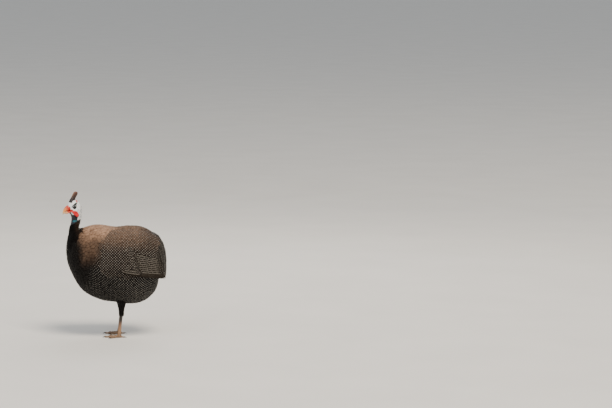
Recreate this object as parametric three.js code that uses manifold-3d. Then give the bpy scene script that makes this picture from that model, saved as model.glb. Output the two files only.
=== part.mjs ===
// A life-size standing pearl guinea fowl, head up and turned a little to its left.
// Millimetres, +Z up. The bird faces -X and its left side is -Y. The origin is on the floor under its middle.
import * as THREE from "three";
import { mergeVertices } from "three/addons/utils/BufferGeometryUtils.js";
import Module from "manifold-3d";

const wasm = await Module();
wasm.setup();

// Driving dimensions

const GAP = 0.3; // between neighbouring pieces
const LEFT = -1; // sign of Y on the bird's left side
const RIGHT = 1;

// Cross-sections of the body from the bill root to the tail root. back and front are where each section meets the
// outline of the bird from the side, as [x, z]; half is its half-width; full is 2 for an oval and more for a boxier one.
const SECTIONS = [
  { at: "bill root", back: [-165, 449], front: [-158, 427], half: 8.5, full: 2.1 },
  { at: "forehead", back: [-160, 460], front: [-154.5, 419.5], half: 12.6, full: 2.1 },
  { at: "crown", back: [-147, 466.5], front: [-151, 412], half: 15.2, full: 2.1 },
  { at: "hind crown", back: [-131, 464], front: [-149.5, 405], half: 15.6, full: 2.1 },
  { at: "nape", back: [-119.5, 449], front: [-149.5, 399], half: 14.6, full: 2.1 },
  { at: "upper neck", back: [-117, 428], front: [-150.5, 393], half: 13.8, full: 2 },
  { at: "mid neck", back: [-118.5, 408], front: [-152, 386], half: 13.6, full: 2 },
  { at: "low neck", back: [-121.5, 391], front: [-154, 375], half: 14.6, full: 2 },
  { at: "neck root", back: [-124.5, 378], front: [-158.5, 356], half: 20, full: 2 },
  { at: "shoulders", back: [-124, 370.5], front: [-165, 328], half: 38, full: 2.05 },
  { at: "upper breast", back: [-118, 370], front: [-168, 289], half: 60, full: 2.15 },
  { at: "breast", back: [-104, 373], front: [-157.5, 235], half: 81, full: 2.25 },
  { at: "fore back", back: [-80, 380], front: [-114, 160], half: 95, full: 2.3 },
  { at: "wing root", back: [-48, 381.5], front: [-52, 126], half: 101, full: 2.3 },
  { at: "mid back", back: [0, 375], front: [0, 117.5], half: 102, full: 2.3 },
  { at: "loin", back: [46, 379], front: [46, 111.5], half: 99, full: 2.3 },
  { at: "hip", back: [90, 375], front: [90, 118], half: 89, full: 2.2 },
  { at: "rump", back: [124, 357], front: [124, 141], half: 71, full: 2.1 },
  { at: "tail root", back: [146, 322], front: [144, 176], half: 49, full: 2 },
  { at: "vent", back: [154, 250], front: [154, 250], half: 0, full: 2 },
];

const HEAD_END = 4.75; // section number where the bare head gives way to the neck
const NECK_SPLIT = 6.9; // bare upper neck above, feathered lower neck below
const NECK_END = 8.5;
const NECK_X = -136; // upright axis about which the head is turned
const HEAD_TURN = THREE.MathUtils.degToRad(28);

const EYE_X = -146.5;
const EYE_Z = 441.5;
const EYE_RADIUS = 5.2;
const EYE_DEPTH = 3.6; // centre of the eyeball below the skin
const EAR = { x: -134, z: 431, radius: 3.1, depth: 2.4 };
const NOSTRIL = { x: -171.5, z: 439.5, length: 2.6, height: 1.3, depth: 1.5 };

const LEG_Y = 38;
const LEG_X = 20; // the hock
const FOOT_X = 13;
const HOCK_Z = 77;
const ANKLE_Z = 13;
const SCUTES = 8;

const WING_FRONT = -68;
const WING_REAR = 172;
const WING_MIDDLE_Z = 246;
const WING_DROP = 129; // how far the wing's arch goes down from there

// Small helpers

// Seeded draws, so that the feathers vary but every build is the same.
function drawer(seed) {
  let state = seed;
  return (spread) => {
    state = (state * 1664525 + 1013904223) % 4294967296;
    return spread * (2 * (state / 4294967296) - 1);
  };
}

function smooth(from, to, value) {
  const share = THREE.MathUtils.clamp((value - from) / (to - from), 0, 1);
  return share * share * (3 - 2 * share);
}

// A smooth curve through rows of numbers, at a place counted in rows.
function through(rows, place) {
  const last = rows.length - 1;
  const row = Math.min(Math.max(Math.floor(place), 0), last - 1);
  const f = place - row;
  const pick = (i) => rows[Math.min(Math.max(i, 0), last)];
  const [a, b, c, d] = [pick(row - 1), pick(row), pick(row + 1), pick(row + 2)];
  return b.map((_, k) => {
    const out = (c[k] - a[k]) / 2;
    const into = (d[k] - b[k]) / 2;
    const step = c[k] - b[k];
    return b[k] + f * (out + f * (3 * step - 2 * out - into + f * (out + into - 2 * step)));
  });
}

function power(value, exponent) {
  return Math.sign(value) * Math.abs(value) ** exponent;
}

// Solids from grids of points

// Merges shared corners, drops collapsed faces and turns the faces outwards.
function closed(corners, faces) {
  const positions = new Float32Array(corners.flatMap((p) => [p.x, p.y, p.z]));
  const loose = new THREE.BufferGeometry();
  loose.setAttribute("position", new THREE.BufferAttribute(positions, 3));
  loose.setIndex(faces.flat());
  const merged = mergeVertices(loose, 1e-3);
  const kept = [];
  for (let i = 0; i < merged.index.count; i += 3) {
    const [a, b, c] = [0, 1, 2].map((k) => merged.index.getX(i + k));
    if (a !== b && b !== c && c !== a) kept.push([a, b, c]);
  }
  const place = merged.getAttribute("position");
  const at = (i) => new THREE.Vector3().fromBufferAttribute(place, i);
  const volume = kept.reduce((sum, [a, b, c]) => sum + at(a).dot(at(b).cross(at(c))), 0);
  merged.setIndex(kept.flatMap(([a, b, c]) => (volume > 0 ? [a, b, c] : [a, c, b])));
  return merged;
}

// A closed surface over rings of points, each end closed by a fan.
function lofted(rings) {
  const around = rings[0].length;
  const corners = rings.flat();
  const faces = [];
  for (let i = 0; i + 1 < rings.length; i++) {
    for (let j = 0; j < around; j++) {
      const k = (j + 1) % around;
      const [a, b, c, d] = [i * around + j, i * around + k, (i + 1) * around + k, (i + 1) * around + j];
      faces.push([a, b, c], [a, c, d]);
    }
  }
  [0, rings.length - 1].forEach((i) => {
    const middle = new THREE.Vector3();
    rings[i].forEach((p) => middle.addScaledVector(p, 1 / around));
    corners.push(middle);
    for (let j = 0; j < around; j++) {
      const edge = [i * around + j, i * around + ((j + 1) % around)];
      faces.push(i ? [edge[0], edge[1], corners.length - 1] : [edge[1], edge[0], corners.length - 1]);
    }
  });
  return closed(corners, faces);
}

// A thin closed plate. point(along, across, face) gives its outer face at 1 and its inner face at -1; both faces are
// split into triangles alike.
function plate(alongSteps, acrossSteps, point) {
  const corners = [];
  const width = acrossSteps + 1;
  const number = (i, j, face) => (face > 0 ? 0 : width * (alongSteps + 1)) + i * width + j;
  [1, -1].forEach((face) => {
    for (let i = 0; i <= alongSteps; i++) {
      for (let j = 0; j <= acrossSteps; j++) {
        corners.push(point(i / alongSteps, (2 * j) / acrossSteps - 1, face));
      }
    }
  });
  const faces = [];
  for (let i = 0; i < alongSteps; i++) {
    for (let j = 0; j < acrossSteps; j++) {
      [1, -1].forEach((face) => {
        const [a, b, c, d] = [[i, j], [i, j + 1], [i + 1, j + 1], [i + 1, j]].map(([m, n]) => number(m, n, face));
        faces.push(...(face > 0 ? [[a, b, c], [a, c, d]] : [[a, c, b], [a, d, c]]));
      });
    }
  }
  const rim = [];
  for (let j = 0; j < acrossSteps; j++) rim.push([0, j]);
  for (let i = 0; i < alongSteps; i++) rim.push([i, acrossSteps]);
  for (let j = acrossSteps; j > 0; j--) rim.push([alongSteps, j]);
  for (let i = alongSteps; i > 0; i--) rim.push([i, 0]);
  rim.forEach(([i, j], n) => {
    const [k, l] = rim[(n + 1) % rim.length];
    const [a, b, c, d] = [number(i, j, 1), number(k, l, 1), number(k, l, -1), number(i, j, -1)];
    faces.push([a, c, b], [a, d, c]);
  });
  return closed(corners, faces);
}

// Joining and cutting

function solid(geometry) {
  const vertProperties = new Float32Array(geometry.getAttribute("position").array);
  const triVerts = new Uint32Array(geometry.index.array);
  return new wasm.Manifold(new wasm.Mesh({ numProp: 3, vertProperties, triVerts }));
}

function joined(geometries) {
  return geometries.map(solid).reduce((all, one) => all.add(one));
}

// The largest closed piece of a solid, as a geometry.
function largest(made) {
  const pieces = made.decompose().sort((a, b) => b.volume() - a.volume());
  const mesh = pieces[0].getMesh();
  const corners = new Float32Array(mesh.numVert * 3);
  for (let i = 0; i < mesh.numVert; i++) {
    corners.set(mesh.vertProperties.subarray(i * mesh.numProp, i * mesh.numProp + 3), i * 3);
  }
  const geometry = new THREE.BufferGeometry();
  geometry.setAttribute("position", new THREE.BufferAttribute(corners, 3));
  geometry.setIndex(new THREE.BufferAttribute(new Uint32Array(mesh.triVerts), 1));
  return geometry;
}

// The body's surface

const SECTION_ROWS = SECTIONS.map((s) => [...s.back, ...s.front, s.half, s.full]);
const LAST_SECTION = SECTIONS.length - 1;

function headTurn(place) {
  return HEAD_TURN * (1 - smooth(HEAD_END + 0.3, NECK_END + 0.4, place));
}

// The point of a body section at an angle from the back: 90 degrees is the right side and -90 the left.
function bodyPoint(place, angle, turned = true) {
  const [backX, backZ, frontX, frontZ, half, full] = through(SECTION_ROWS, place);
  const rise = power(Math.cos(angle), 2 / full);
  const point = new THREE.Vector3(
    (backX + frontX + rise * (backX - frontX)) / 2,
    Math.max(half, 0) * power(Math.sin(angle), 2 / full),
    (backZ + frontZ + rise * (backZ - frontZ)) / 2,
  );
  if (!turned) return point;
  const axis = new THREE.Vector3(NECK_X, 0, 0);
  return point.sub(axis).applyAxisAngle(new THREE.Vector3(0, 0, 1), headTurn(place)).add(axis);
}

function bodyNormal(place, angle, turned) {
  const step = 0.02;
  const from = Math.min(Math.max(place, step), LAST_SECTION - step);
  const along = bodyPoint(from + step, angle, turned).sub(bodyPoint(from - step, angle, turned));
  const around = bodyPoint(from, angle + step, turned).sub(bodyPoint(from, angle - step, turned));
  return along.cross(around).normalize();
}

// The body between two sections, grown outwards if asked. relief adds height to the skin by its place.
function bodySlice(from, to, steps, around, { grow = 0, turned = true, relief = () => 0 } = {}) {
  const rings = [];
  for (let i = 0; i <= steps; i++) {
    const place = from + ((to - from) * i) / steps;
    rings.push(
      Array.from({ length: around }, (_, j) => {
        const angle = (2 * Math.PI * (j + 0.5)) / around;
        const point = bodyPoint(place, angle, turned);
        if (place >= LAST_SECTION) return point.add(new THREE.Vector3(grow, 0, 0));
        return point.addScaledVector(bodyNormal(place, angle, turned), grow + relief(point));
      }),
    );
  }
  return lofted(rings);
}

const torsoGeometry = bodySlice(NECK_END, LAST_SECTION, 28, 26);
const grownTorso = solid(bodySlice(NECK_END, LAST_SECTION, 28, 26, { grow: GAP }));

// A piece cut back from the body it grows from.
function offTorso(made) {
  return largest(made.subtract(grownTorso));
}

// Head, modelled looking straight ahead

function bump(point, x, z, width, height) {
  const apart = ((point.x - x) ** 2 + (point.z - z) ** 2) / width ** 2;
  return height * Math.exp(-apart);
}

// Brow ridge, eye socket, cheek and gape stand out of or sink into the plain head.
function headRelief(point) {
  const brow = bump(point, EYE_X + 1, EYE_Z + 9, 6, 1.5);
  const socket = bump(point, EYE_X, EYE_Z, 6.5, -1.9);
  const cheek = bump(point, EYE_X + 9, EYE_Z - 13, 9, 1.2);
  const onSide = smooth(4, 10, Math.abs(point.y));
  return onSide * (brow + socket + cheek);
}

function headHalf(x, z) {
  let best = { apart: Infinity, y: 0 };
  for (let place = 0; place < HEAD_END; place += 0.05) {
    for (let angle = 0.2; angle < 2.9; angle += 0.04) {
      const point = bodyPoint(place, angle, false);
      point.addScaledVector(bodyNormal(place, angle, false), headRelief(point));
      const apart = Math.hypot(point.x - x, point.z - z);
      if (apart < best.apart) best = { apart, y: point.y };
    }
  }
  return best.y;
}

function ball(x, y, z, radii, steps = 12) {
  const shape = new THREE.SphereGeometry(1, steps, steps - 2);
  shape.scale(...radii);
  shape.translate(x, y, z);
  shape.deleteAttribute("normal");
  shape.deleteAttribute("uv");
  const place = shape.getAttribute("position");
  const corners = Array.from({ length: place.count }, (_, i) => new THREE.Vector3().fromBufferAttribute(place, i));
  const faces = Array.from({ length: shape.index.count / 3 }, (_, i) => [0, 1, 2].map((k) => shape.index.getX(3 * i + k)));
  return closed(corners, faces);
}

// A rounded rim standing on the side of the head, as an eyelid or the edge of the ear.
function rim(x, z, y, side, across, tall, thick) {
  const around = 12;
  const sides = 5;
  const corners = [];
  const faces = [];
  for (let i = 0; i < around; i++) {
    const turn = (2 * Math.PI * i) / around;
    for (let j = 0; j < sides; j++) {
      const roll = (2 * Math.PI * j) / sides;
      const reach = thick * Math.cos(roll);
      corners.push(
        new THREE.Vector3(
          x + (across + reach) * Math.cos(turn),
          side * (y + thick * Math.sin(roll) - 0.9 * Math.cos(turn) ** 2),
          z + (tall + reach) * Math.sin(turn),
        ),
      );
      const [a, b] = [i * sides + j, i * sides + ((j + 1) % sides)];
      const [c, d] = [((i + 1) % around) * sides + ((j + 1) % sides), ((i + 1) % around) * sides + j];
      faces.push([a, b, c], [a, c, d]);
    }
  }
  return closed(corners, faces);
}

const EYE_Y = headHalf(EYE_X, EYE_Z) - EYE_DEPTH + 1.6;
const EAR_Y = headHalf(EAR.x, EAR.z);
const plainHead = bodySlice(0, HEAD_END, 17, 22, { turned: false, relief: headRelief });
const grownHead = solid(bodySlice(0, HEAD_END, 17, 22, { turned: false, relief: (p) => headRelief(p) + GAP }));

function headShape() {
  let head = solid(plainHead);
  [LEFT, RIGHT].forEach((side) => {
    const lidY = EYE_Y + EYE_DEPTH - 1.7;
    head = head.add(solid(rim(EYE_X, EYE_Z, lidY, side, EYE_RADIUS + 0.5, EYE_RADIUS - 0.7, 1.25)));
    head = head.add(solid(rim(EAR.x, EAR.z, EAR_Y - 0.3, side, EAR.radius, EAR.radius + 0.5, 0.8)));
    head = head.subtract(solid(ball(EAR.x, side * EAR_Y, EAR.z, [EAR.radius - 0.6, EAR.depth, EAR.radius])));
    const socket = EYE_RADIUS + GAP;
    head = head.subtract(solid(ball(EYE_X, side * EYE_Y, EYE_Z, [socket, socket, socket], 12)));
  });
  return largest(head);
}

function eye(side) {
  return ball(EYE_X, side * EYE_Y, EYE_Z, [EYE_RADIUS, EYE_RADIUS, EYE_RADIUS], 11);
}

// Sections of a piece seen from the side: each has a back and a front point, a half-width and a middle y.
function sideLoft(sections, steps, around) {
  const rows = sections.map((s) => [...s.back, ...s.front, s.half, s.y ?? 0]);
  const rings = [];
  for (let i = 0; i <= steps; i++) {
    const [backX, backZ, frontX, frontZ, half, middle] = through(rows, ((rows.length - 1) * i) / steps);
    rings.push(
      Array.from({ length: around }, (_, j) => {
        const angle = (2 * Math.PI * j) / around;
        const rise = Math.cos(angle);
        return new THREE.Vector3(
          (backX + frontX + rise * (backX - frontX)) / 2,
          middle + Math.max(half, 0) * Math.sin(angle),
          (backZ + frontZ + rise * (backZ - frontZ)) / 2,
        );
      }),
    );
  }
  return lofted(rings);
}

// The bony helmet on the crown, swept back.
function casque() {
  const horn = sideLoft(
    [
      { back: [-133, 455], front: [-163, 453], half: 8.5 },
      { back: [-137, 467], front: [-158.5, 465], half: 6.4 },
      { back: [-133, 477], front: [-151.5, 476], half: 4.9 },
      { back: [-127.5, 486], front: [-146, 486.5], half: 4.4 },
      { back: [-128.5, 492.3], front: [-141.5, 493], half: 3.2 },
      { back: [-135, 495.5], front: [-135, 495.5], half: 0 },
    ],
    10,
    12,
  );
  return largest(solid(horn).subtract(grownHead));
}

// The bill meets the front of the head. Its two halves part along the line of the mouth.
function billUpper() {
  const horn = sideLoft(
    [
      { back: [-166, 448.6], front: [-160.2, 430.8], half: 8.3 },
      { back: [-172.5, 445], front: [-166.8, 429], half: 7 },
      { back: [-179.5, 437.5], front: [-172.8, 427.8], half: 5.2 },
      { back: [-183.6, 428], front: [-178, 425.4], half: 3.1 },
      { back: [-184.6, 419.5], front: [-182.4, 419.9], half: 1 },
      { back: [-184.2, 417.8], front: [-184.2, 417.8], half: 0 },
    ],
    10,
    12,
  );
  let made = solid(horn).subtract(grownHead);
  [LEFT, RIGHT].forEach((side) => {
    const hole = ball(NOSTRIL.x, side * 6.6, NOSTRIL.z, [NOSTRIL.length, NOSTRIL.depth, NOSTRIL.height], 8);
    made = made.subtract(solid(hole));
  });
  return largest(made);
}

function billLower() {
  const horn = sideLoft(
    [
      { back: [-159.8, 430.2], front: [-157.8, 424], half: 7.6 },
      { back: [-166.4, 428.3], front: [-164.6, 421.2], half: 6.2 },
      { back: [-172.6, 427], front: [-171.2, 420.6], half: 4.4 },
      { back: [-177.2, 424.9], front: [-177, 421.4], half: 2.4 },
      { back: [-179.4, 422.4], front: [-179.4, 422.4], half: 0 },
    ],
    7,
    12,
  );
  return largest(solid(horn).subtract(grownHead));
}

// A wattle: a puffed lobe with a folded surface, hanging from the corner of the mouth along the cheek.
function wattle(side) {
  const front = new THREE.Vector2(-160.5, 430.5);
  const rear = new THREE.Vector2(-131.5, 417.5);
  const lobe = plate(8, 5, (along, across, face) => {
    const reach = 1.6 + 8.6 * Math.sin(Math.PI * along ** 1.9) ** 0.6;
    const middle = front.clone().lerp(rear, along);
    const drop = -across * reach - 2.2 * Math.sin(Math.PI * along);
    const swell = Math.sqrt(Math.max(1 - across ** 2, 0)) * Math.sin(Math.PI * (0.08 + 0.84 * along)) ** 0.5;
    const fold = 0.45 * Math.sin(8 * along + 3 * across) * swell;
    const outward = 12.4 + 3.2 * smooth(0, 0.5, along) + 1.8 * smooth(-0.4, 1, across);
    return new THREE.Vector3(
      middle.x - 0.2 * drop,
      side * (outward + fold + face * (0.35 + 2.3 * swell)),
      middle.y + drop,
    );
  });
  return largest(solid(lobe).subtract(grownHead));
}

// Vanes

// How wide a vane is along its length: narrow where it is rooted, full, then round at the tip.
function vaneWidth(along) {
  const root = 0.55 + 0.45 * smooth(0, 0.35, along);
  const tip = along > 0.75 ? Math.sqrt(Math.max(1 - ((along - 0.75) / 0.25) ** 2, 0)) : 1;
  return root * Math.max(tip, 0.14);
}

// One flight or tail feather, drawn in side view from root to tip and laid on bed(x, z), which gives its distance from
// the middle of the bird. drop bends it down, lift raises it off the bed and proud raises its lower edge.
function vane(bed, side, { root, tip, width, drop, lift, proud, thick, across: steps = 1 }) {
  const line = new THREE.Vector2(tip[0] - root[0], tip[1] - root[1]);
  const down = new THREE.Vector2(line.y, -line.x).normalize();
  return plate(4, steps, (along, across, face) => {
    const sag = drop * along ** 2;
    const half = (width / 2) * vaneWidth(along);
    const x = root[0] + line.x * along + down.x * (sag + across * half);
    const z = root[1] + line.y * along + down.y * (sag + across * half);
    const height = lift[0] + (lift[1] - lift[0]) * along + proud * across + 0.35 * (1 - across ** 2);
    const depth = thick * (1 - 0.35 * along);
    return new THREE.Vector3(x, side * (bed(x, z) + height + (face * depth) / 2), z);
  });
}

// Wings

// Where along the bird, how far the folded wing lies from its middle, and how far its arch goes up.
const WING_BED = [
  [-100, 88, 124],
  [-60, 100, 128],
  [0, 107, 130],
  [60, 105, 132],
  [110, 93, 121],
  [150, 71, 100],
  [180, 54, 84],
];

// Distance from the middle of the bird to the surface that the folded wing makes.
function wingBed(x, z) {
  const row = WING_BED.findIndex((r) => r[0] > x);
  const next = row < 1 ? 1 : row;
  const [low, high] = [WING_BED[next - 1], WING_BED[next]];
  const [, half, rise] = through(WING_BED, next - 1 + (x - low[0]) / (high[0] - low[0]));
  const share = Math.min(Math.abs(z - WING_MIDDLE_Z) / (z > WING_MIDDLE_Z ? rise : WING_DROP), 0.98);
  return half * (1 - share ** 2.3) ** (1 / 2.3);
}

// The part of the wing under the small coverts, from the bend of the wing back to where the flight feathers lie free.
function wingCore(side) {
  return plate(12, 6, (along, across, face) => {
    const x = WING_FRONT + 205 * along;
    const round = Math.sqrt(Math.max(1 - (1 - Math.min(along / 0.2, 1)) ** 2, 0.02));
    const rear = Math.sqrt(Math.max(1 - Math.max((along - 0.72) / 0.28, 0) ** 2, 0.04));
    const middle = 284 - 12 * along + 6 * Math.sin(Math.PI * along);
    const half = 58 * round * rear * (1 - 0.12 * along);
    const z = middle - across * half;
    const edge = 1 - 0.82 * across ** 4;
    const outer = wingBed(x, z) - 2.6 * (1 - edge * rear);
    return new THREE.Vector3(x, side * (face > 0 ? outer : outer - 5 - 12 * edge * rear), z);
  });
}

function wing(side, seed) {
  const vary = drawer(seed);
  const feathers = [];
  const add = (shape) => feathers.push(vane(wingBed, side, shape));
  // Primaries, the lowest first: long, narrow and closely stacked.
  for (let i = 0; i < 5; i++) {
    add({
      root: [28 + 3.6 * i, 232 + 3.8 * i],
      tip: [WING_REAR - 3 - 3.8 * i + vary(1), 213 + 6.7 * i + vary(0.6)],
      width: 15,
      drop: 1.5,
      lift: [-1.4 + 0.16 * i, 0.1 + 0.22 * i],
      proud: 0.55,
      thick: 1.7,
    });
  }
  // Secondaries and tertials: each lies over the next one below it.
  for (let i = 0; i < 8; i++) {
    add({
      root: [34 - 1.7 * i, 246 + 10.9 * i],
      tip: [164 - 0.76 * i ** 1.75 + vary(1.2), 238 + 11.6 * i + vary(0.8)],
      width: 25,
      drop: 7 + 0.9 * i,
      lift: [0, 1.6 + 0.12 * i],
      proud: 0.95,
      thick: 1.9,
      across: 2,
    });
  }
  // Greater coverts over their roots.
  for (let i = 0; i < 6; i++) {
    add({
      root: [16 - 3.4 * i, 243 + 14.8 * i],
      tip: [86 - 4.8 * i + vary(1.5), 236 + 15.6 * i + vary(0.8)],
      width: 27,
      drop: 3,
      lift: [0.2, 3.3],
      proud: 0.9,
      thick: 1.8,
    });
  }
  // Middle coverts over those.
  for (let i = 0; i < 4; i++) {
    add({
      root: [-22 - 3 * i, 250 + 22 * i],
      tip: [34 - 7 * i + vary(1.5), 246 + 22.6 * i + vary(0.8)],
      width: 36,
      drop: 2,
      lift: [0.2, 4],
      proud: 0.9,
      thick: 1.8,
    });
  }
  return offTorso(joined([wingCore(side), ...feathers]));
}

// Tail

// Middle line of the tail from its root over the rump to its tip, as [x, z].
const TAIL_LINE = [
  [108, 361],
  [134, 350.5],
  [155, 328],
  [167.5, 296],
  [172.5, 260],
  [172.5, 222],
  [168, 189],
];
const TAIL_HALF_ROOT = 26;
const TAIL_HALF_TIP = 54;

// A point of the tail: along its line, share of the way out to a side, and height off its middle surface.
function tailPoint(along, aside, height) {
  const last = TAIL_LINE.length - 1;
  const [x, z] = through(TAIL_LINE, along * last);
  const [aheadX, aheadZ] = through(TAIL_LINE, Math.min(along + 0.01, 1) * last);
  const [behindX, behindZ] = through(TAIL_LINE, Math.max(along - 0.01, 0) * last);
  const line = new THREE.Vector2(aheadX - behindX, aheadZ - behindZ).normalize();
  const tent = -(7 + 9 * along) * Math.abs(aside) ** 1.7;
  const spread = TAIL_HALF_ROOT + (TAIL_HALF_TIP - TAIL_HALF_ROOT) * smooth(0, 0.9, along);
  const off = height + tent;
  return new THREE.Vector3(x - line.y * off, aside * spread, z + line.x * off);
}

function tailVane(aside, from, to, half, height, thick) {
  return plate(4, 1, (along, across, face) => {
    const place = from + (to - from) * along;
    const sideways = aside + (half * across * vaneWidth(along)) / TAIL_HALF_TIP;
    const lean = Math.abs(sideways) > Math.abs(aside) ? -0.4 : 0.4;
    return tailPoint(place, sideways, height * (0.4 + 0.6 * along) + lean + (face * thick) / 2);
  });
}

function tailCore() {
  return plate(6, 6, (along, across, face) => {
    const round = Math.sqrt(Math.max(1 - Math.max((along - 0.6) / 0.4, 0) ** 2, 0.05));
    const reach = 0.9 * round;
    const depth = 24 * round * (1 - 0.6 * across ** 2);
    return tailPoint(0.05 + 0.6 * along, across * reach, face > 0 ? -1.2 : -1.2 - depth);
  });
}

function tail(seed) {
  const vary = drawer(seed);
  const feathers = [];
  // Tail feathers in five pairs, the outer ones lower and a little shorter.
  for (let i = 4; i >= 0; i--) {
    const share = (i + 0.42) / 5;
    [LEFT, RIGHT].forEach((side) => {
      feathers.push(tailVane(side * share, 0.3, 1 - 0.07 * share ** 2 + vary(0.006), 12, -1.5 * share, 1.7));
    });
  }
  // A shorter tier of upper tail coverts over them.
  [
    { count: 3, from: 0.1, to: 0.62, height: 2.6 },
  ].forEach(({ count, from, to, height }) => {
    for (let i = count - 1; i >= 0; i--) {
      const share = (i + 0.45) / count;
      [LEFT, RIGHT].forEach((side) => {
        feathers.push(tailVane(side * share * 0.92, from, to - 0.05 * share + vary(0.008), 17, height, 1.8));
      });
    }
  });
  return offTorso(joined([tailCore(), ...feathers]));
}

// Legs

function thigh(side) {
  const y = side * LEG_Y;
  const shaft = sideLoft(
    [
      { back: [54, 176], front: [-14, 176], half: 27, y: y * 1.05 },
      { back: [45, 142], front: [-3, 142], half: 20, y: y * 1.03 },
      { back: [35, 116], front: [6, 115], half: 13, y },
      { back: [30, 96], front: [10.5, 95], half: 8.6, y },
      { back: [LEG_X + 7.6, HOCK_Z + 6], front: [LEG_X - 6.6, HOCK_Z + 6], half: 6.4, y },
    ],
    12,
    14,
  );
  return offTorso(solid(shaft));
}

// The bare shank, with the raised plates down its front and back.
function shank(side) {
  const rings = [];
  const steps = SCUTES * 2;
  const top = HOCK_Z + 6 - GAP;
  for (let i = 0; i <= steps; i++) {
    const along = i / steps;
    const z = top + (ANKLE_Z - top) * along;
    const x = LEG_X + (FOOT_X - LEG_X) * along;
    const joint = 2.4 * Math.exp(-((along / 0.14) ** 2)) + 1.3 * Math.exp(-(((1 - along) / 0.1) ** 2));
    const scute = i % 2 ? 0.45 : 0;
    rings.push(
      Array.from({ length: 10 }, (_, j) => {
        const angle = (2 * Math.PI * j) / 10;
        const front = Math.abs(Math.cos(angle)) > 0.6 ? scute : 0;
        return new THREE.Vector3(
          x + (5 + joint + front) * Math.cos(angle),
          side * LEG_Y + (3.9 + joint * 0.8) * Math.sin(angle),
          z,
        );
      }),
    );
  }
  return lofted(rings);
}

const TOES = [
  { name: "inner", heading: -36, length: 36, radius: 3.7, joints: 2 },
  { name: "middle", heading: 2, length: 47, radius: 4, joints: 3 },
  { name: "outer", heading: 38, length: 38, radius: 3.6, joints: 4 },
  { name: "hind", heading: 168, length: 17, radius: 2.9, joints: 1 },
];
const TOE_ROOT = 5;
const CLAW_LENGTH = 9;

// A point of a toe in its own frame: along it from the middle of the foot, across it and up.
function toePoint(side, toe, along, across, up) {
  const heading = THREE.MathUtils.degToRad(toe.heading * side);
  const [forward, sideways] = [-Math.cos(heading), Math.sin(heading)];
  return new THREE.Vector3(
    FOOT_X + forward * along + sideways * across,
    side * LEG_Y + sideways * along - forward * across,
    up,
  );
}

function toeShape(side, toe) {
  const steps = toe.joints * 2 + 1;
  const rings = [];
  for (let i = 0; i <= steps; i++) {
    const along = i / steps;
    const pad = 0.45 * Math.cos(2 * Math.PI * along * toe.joints);
    const radius = (toe.radius - 1.1 * along + pad) * (i === steps ? 0.72 : 1);
    const raised = (toe.name === "hind" ? 5.5 : 3.5) * (1 - along) ** 2;
    rings.push(
      Array.from({ length: 7 }, (_, j) => {
        const angle = (2 * Math.PI * (j + 0.25)) / 7;
        const up = Math.max(raised + radius * (0.82 + Math.sin(angle)), 0);
        return toePoint(side, toe, TOE_ROOT * 0.2 + toe.length * along, radius * Math.cos(angle), up);
      }),
    );
  }
  return lofted(rings);
}

function foot(side) {
  const ball = sideLoft(
    [
      { back: [FOOT_X + 8.5, 0], front: [FOOT_X - 8.5, 0], half: 7.6, y: side * LEG_Y },
      { back: [FOOT_X + 9, 3], front: [FOOT_X - 9.5, 3], half: 8.2, y: side * LEG_Y },
      { back: [FOOT_X + 7.2, 8.5], front: [FOOT_X - 7, 8.5], half: 6.4, y: side * LEG_Y },
      { back: [FOOT_X + 6.2, ANKLE_Z - GAP], front: [FOOT_X - 6, ANKLE_Z - GAP], half: 4.9, y: side * LEG_Y },
    ],
    6,
    12,
  );
  return largest(joined([ball, ...TOES.map((toe) => toeShape(side, toe))]));
}

// A claw: a tapering hook bent down from the end of its toe, its tip just off the floor.
function claw(side, toe) {
  const start = TOE_ROOT * 0.2 + toe.length + GAP;
  const base = (toe.radius - 0.65) * 0.62;
  const rings = [];
  for (let i = 0; i <= 3; i++) {
    const along = i / 3;
    const radius = base * (1 - along) ** 0.8;
    const height = 0.4 + base + (base + 0.2) * (1 - along ** 2.2) * 0.55 - base * along ** 2.2;
    rings.push(
      Array.from({ length: 7 }, (_, j) => {
        const angle = (2 * Math.PI * j) / 7;
        const up = height + radius * 1.15 * Math.sin(angle);
        return toePoint(side, toe, start + CLAW_LENGTH * along, radius * Math.cos(angle) * 0.8, Math.max(up, 0.3));
      }),
    );
  }
  return lofted(rings);
}

// Finishes

const FINISHES = {
  faceSkin: { color: 0xdfe3df, roughness: 0.55 },
  neckSkin: { color: 0x1b2030, roughness: 0.6 },
  neckFeathers: { color: 0x2a2024, roughness: 0.85 },
  plumage: { color: 0x4c4540, roughness: 0.85 },
  flightFeathers: { color: 0x3e3833, roughness: 0.75 },
  redSkin: { color: 0xc8202a, roughness: 0.45 },
  bill: { color: 0xd08a5a, roughness: 0.4 },
  casque: { color: 0x6b4a33, roughness: 0.5 },
  eye: { color: 0x1a0f0a, roughness: 0.05 },
  legSkin: { color: 0x8a6a4e, roughness: 0.6 },
  claw: { color: 0x2c241f, roughness: 0.35 },
};
const MATERIALS = Object.fromEntries(
  Object.entries(FINISHES).map(([name, look]) => [name, new THREE.MeshStandardMaterial({ ...look, metalness: 0 })]),
);

function piece(name, geometry, finish) {
  const mesh = new THREE.Mesh(geometry, MATERIALS[finish]);
  mesh.name = name;
  return mesh;
}

// The bird

const bird = new THREE.Group();
bird.add(
  piece("torso", torsoGeometry, "plumage"),
  piece("neck_lower", bodySlice(NECK_SPLIT, NECK_END - 0.02, 6, 22), "neckFeathers"),
  piece("neck_upper", bodySlice(HEAD_END + 0.03, NECK_SPLIT - 0.03, 7, 22), "neckSkin"),
  piece("tail", tail(7), "flightFeathers"),
);

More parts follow.
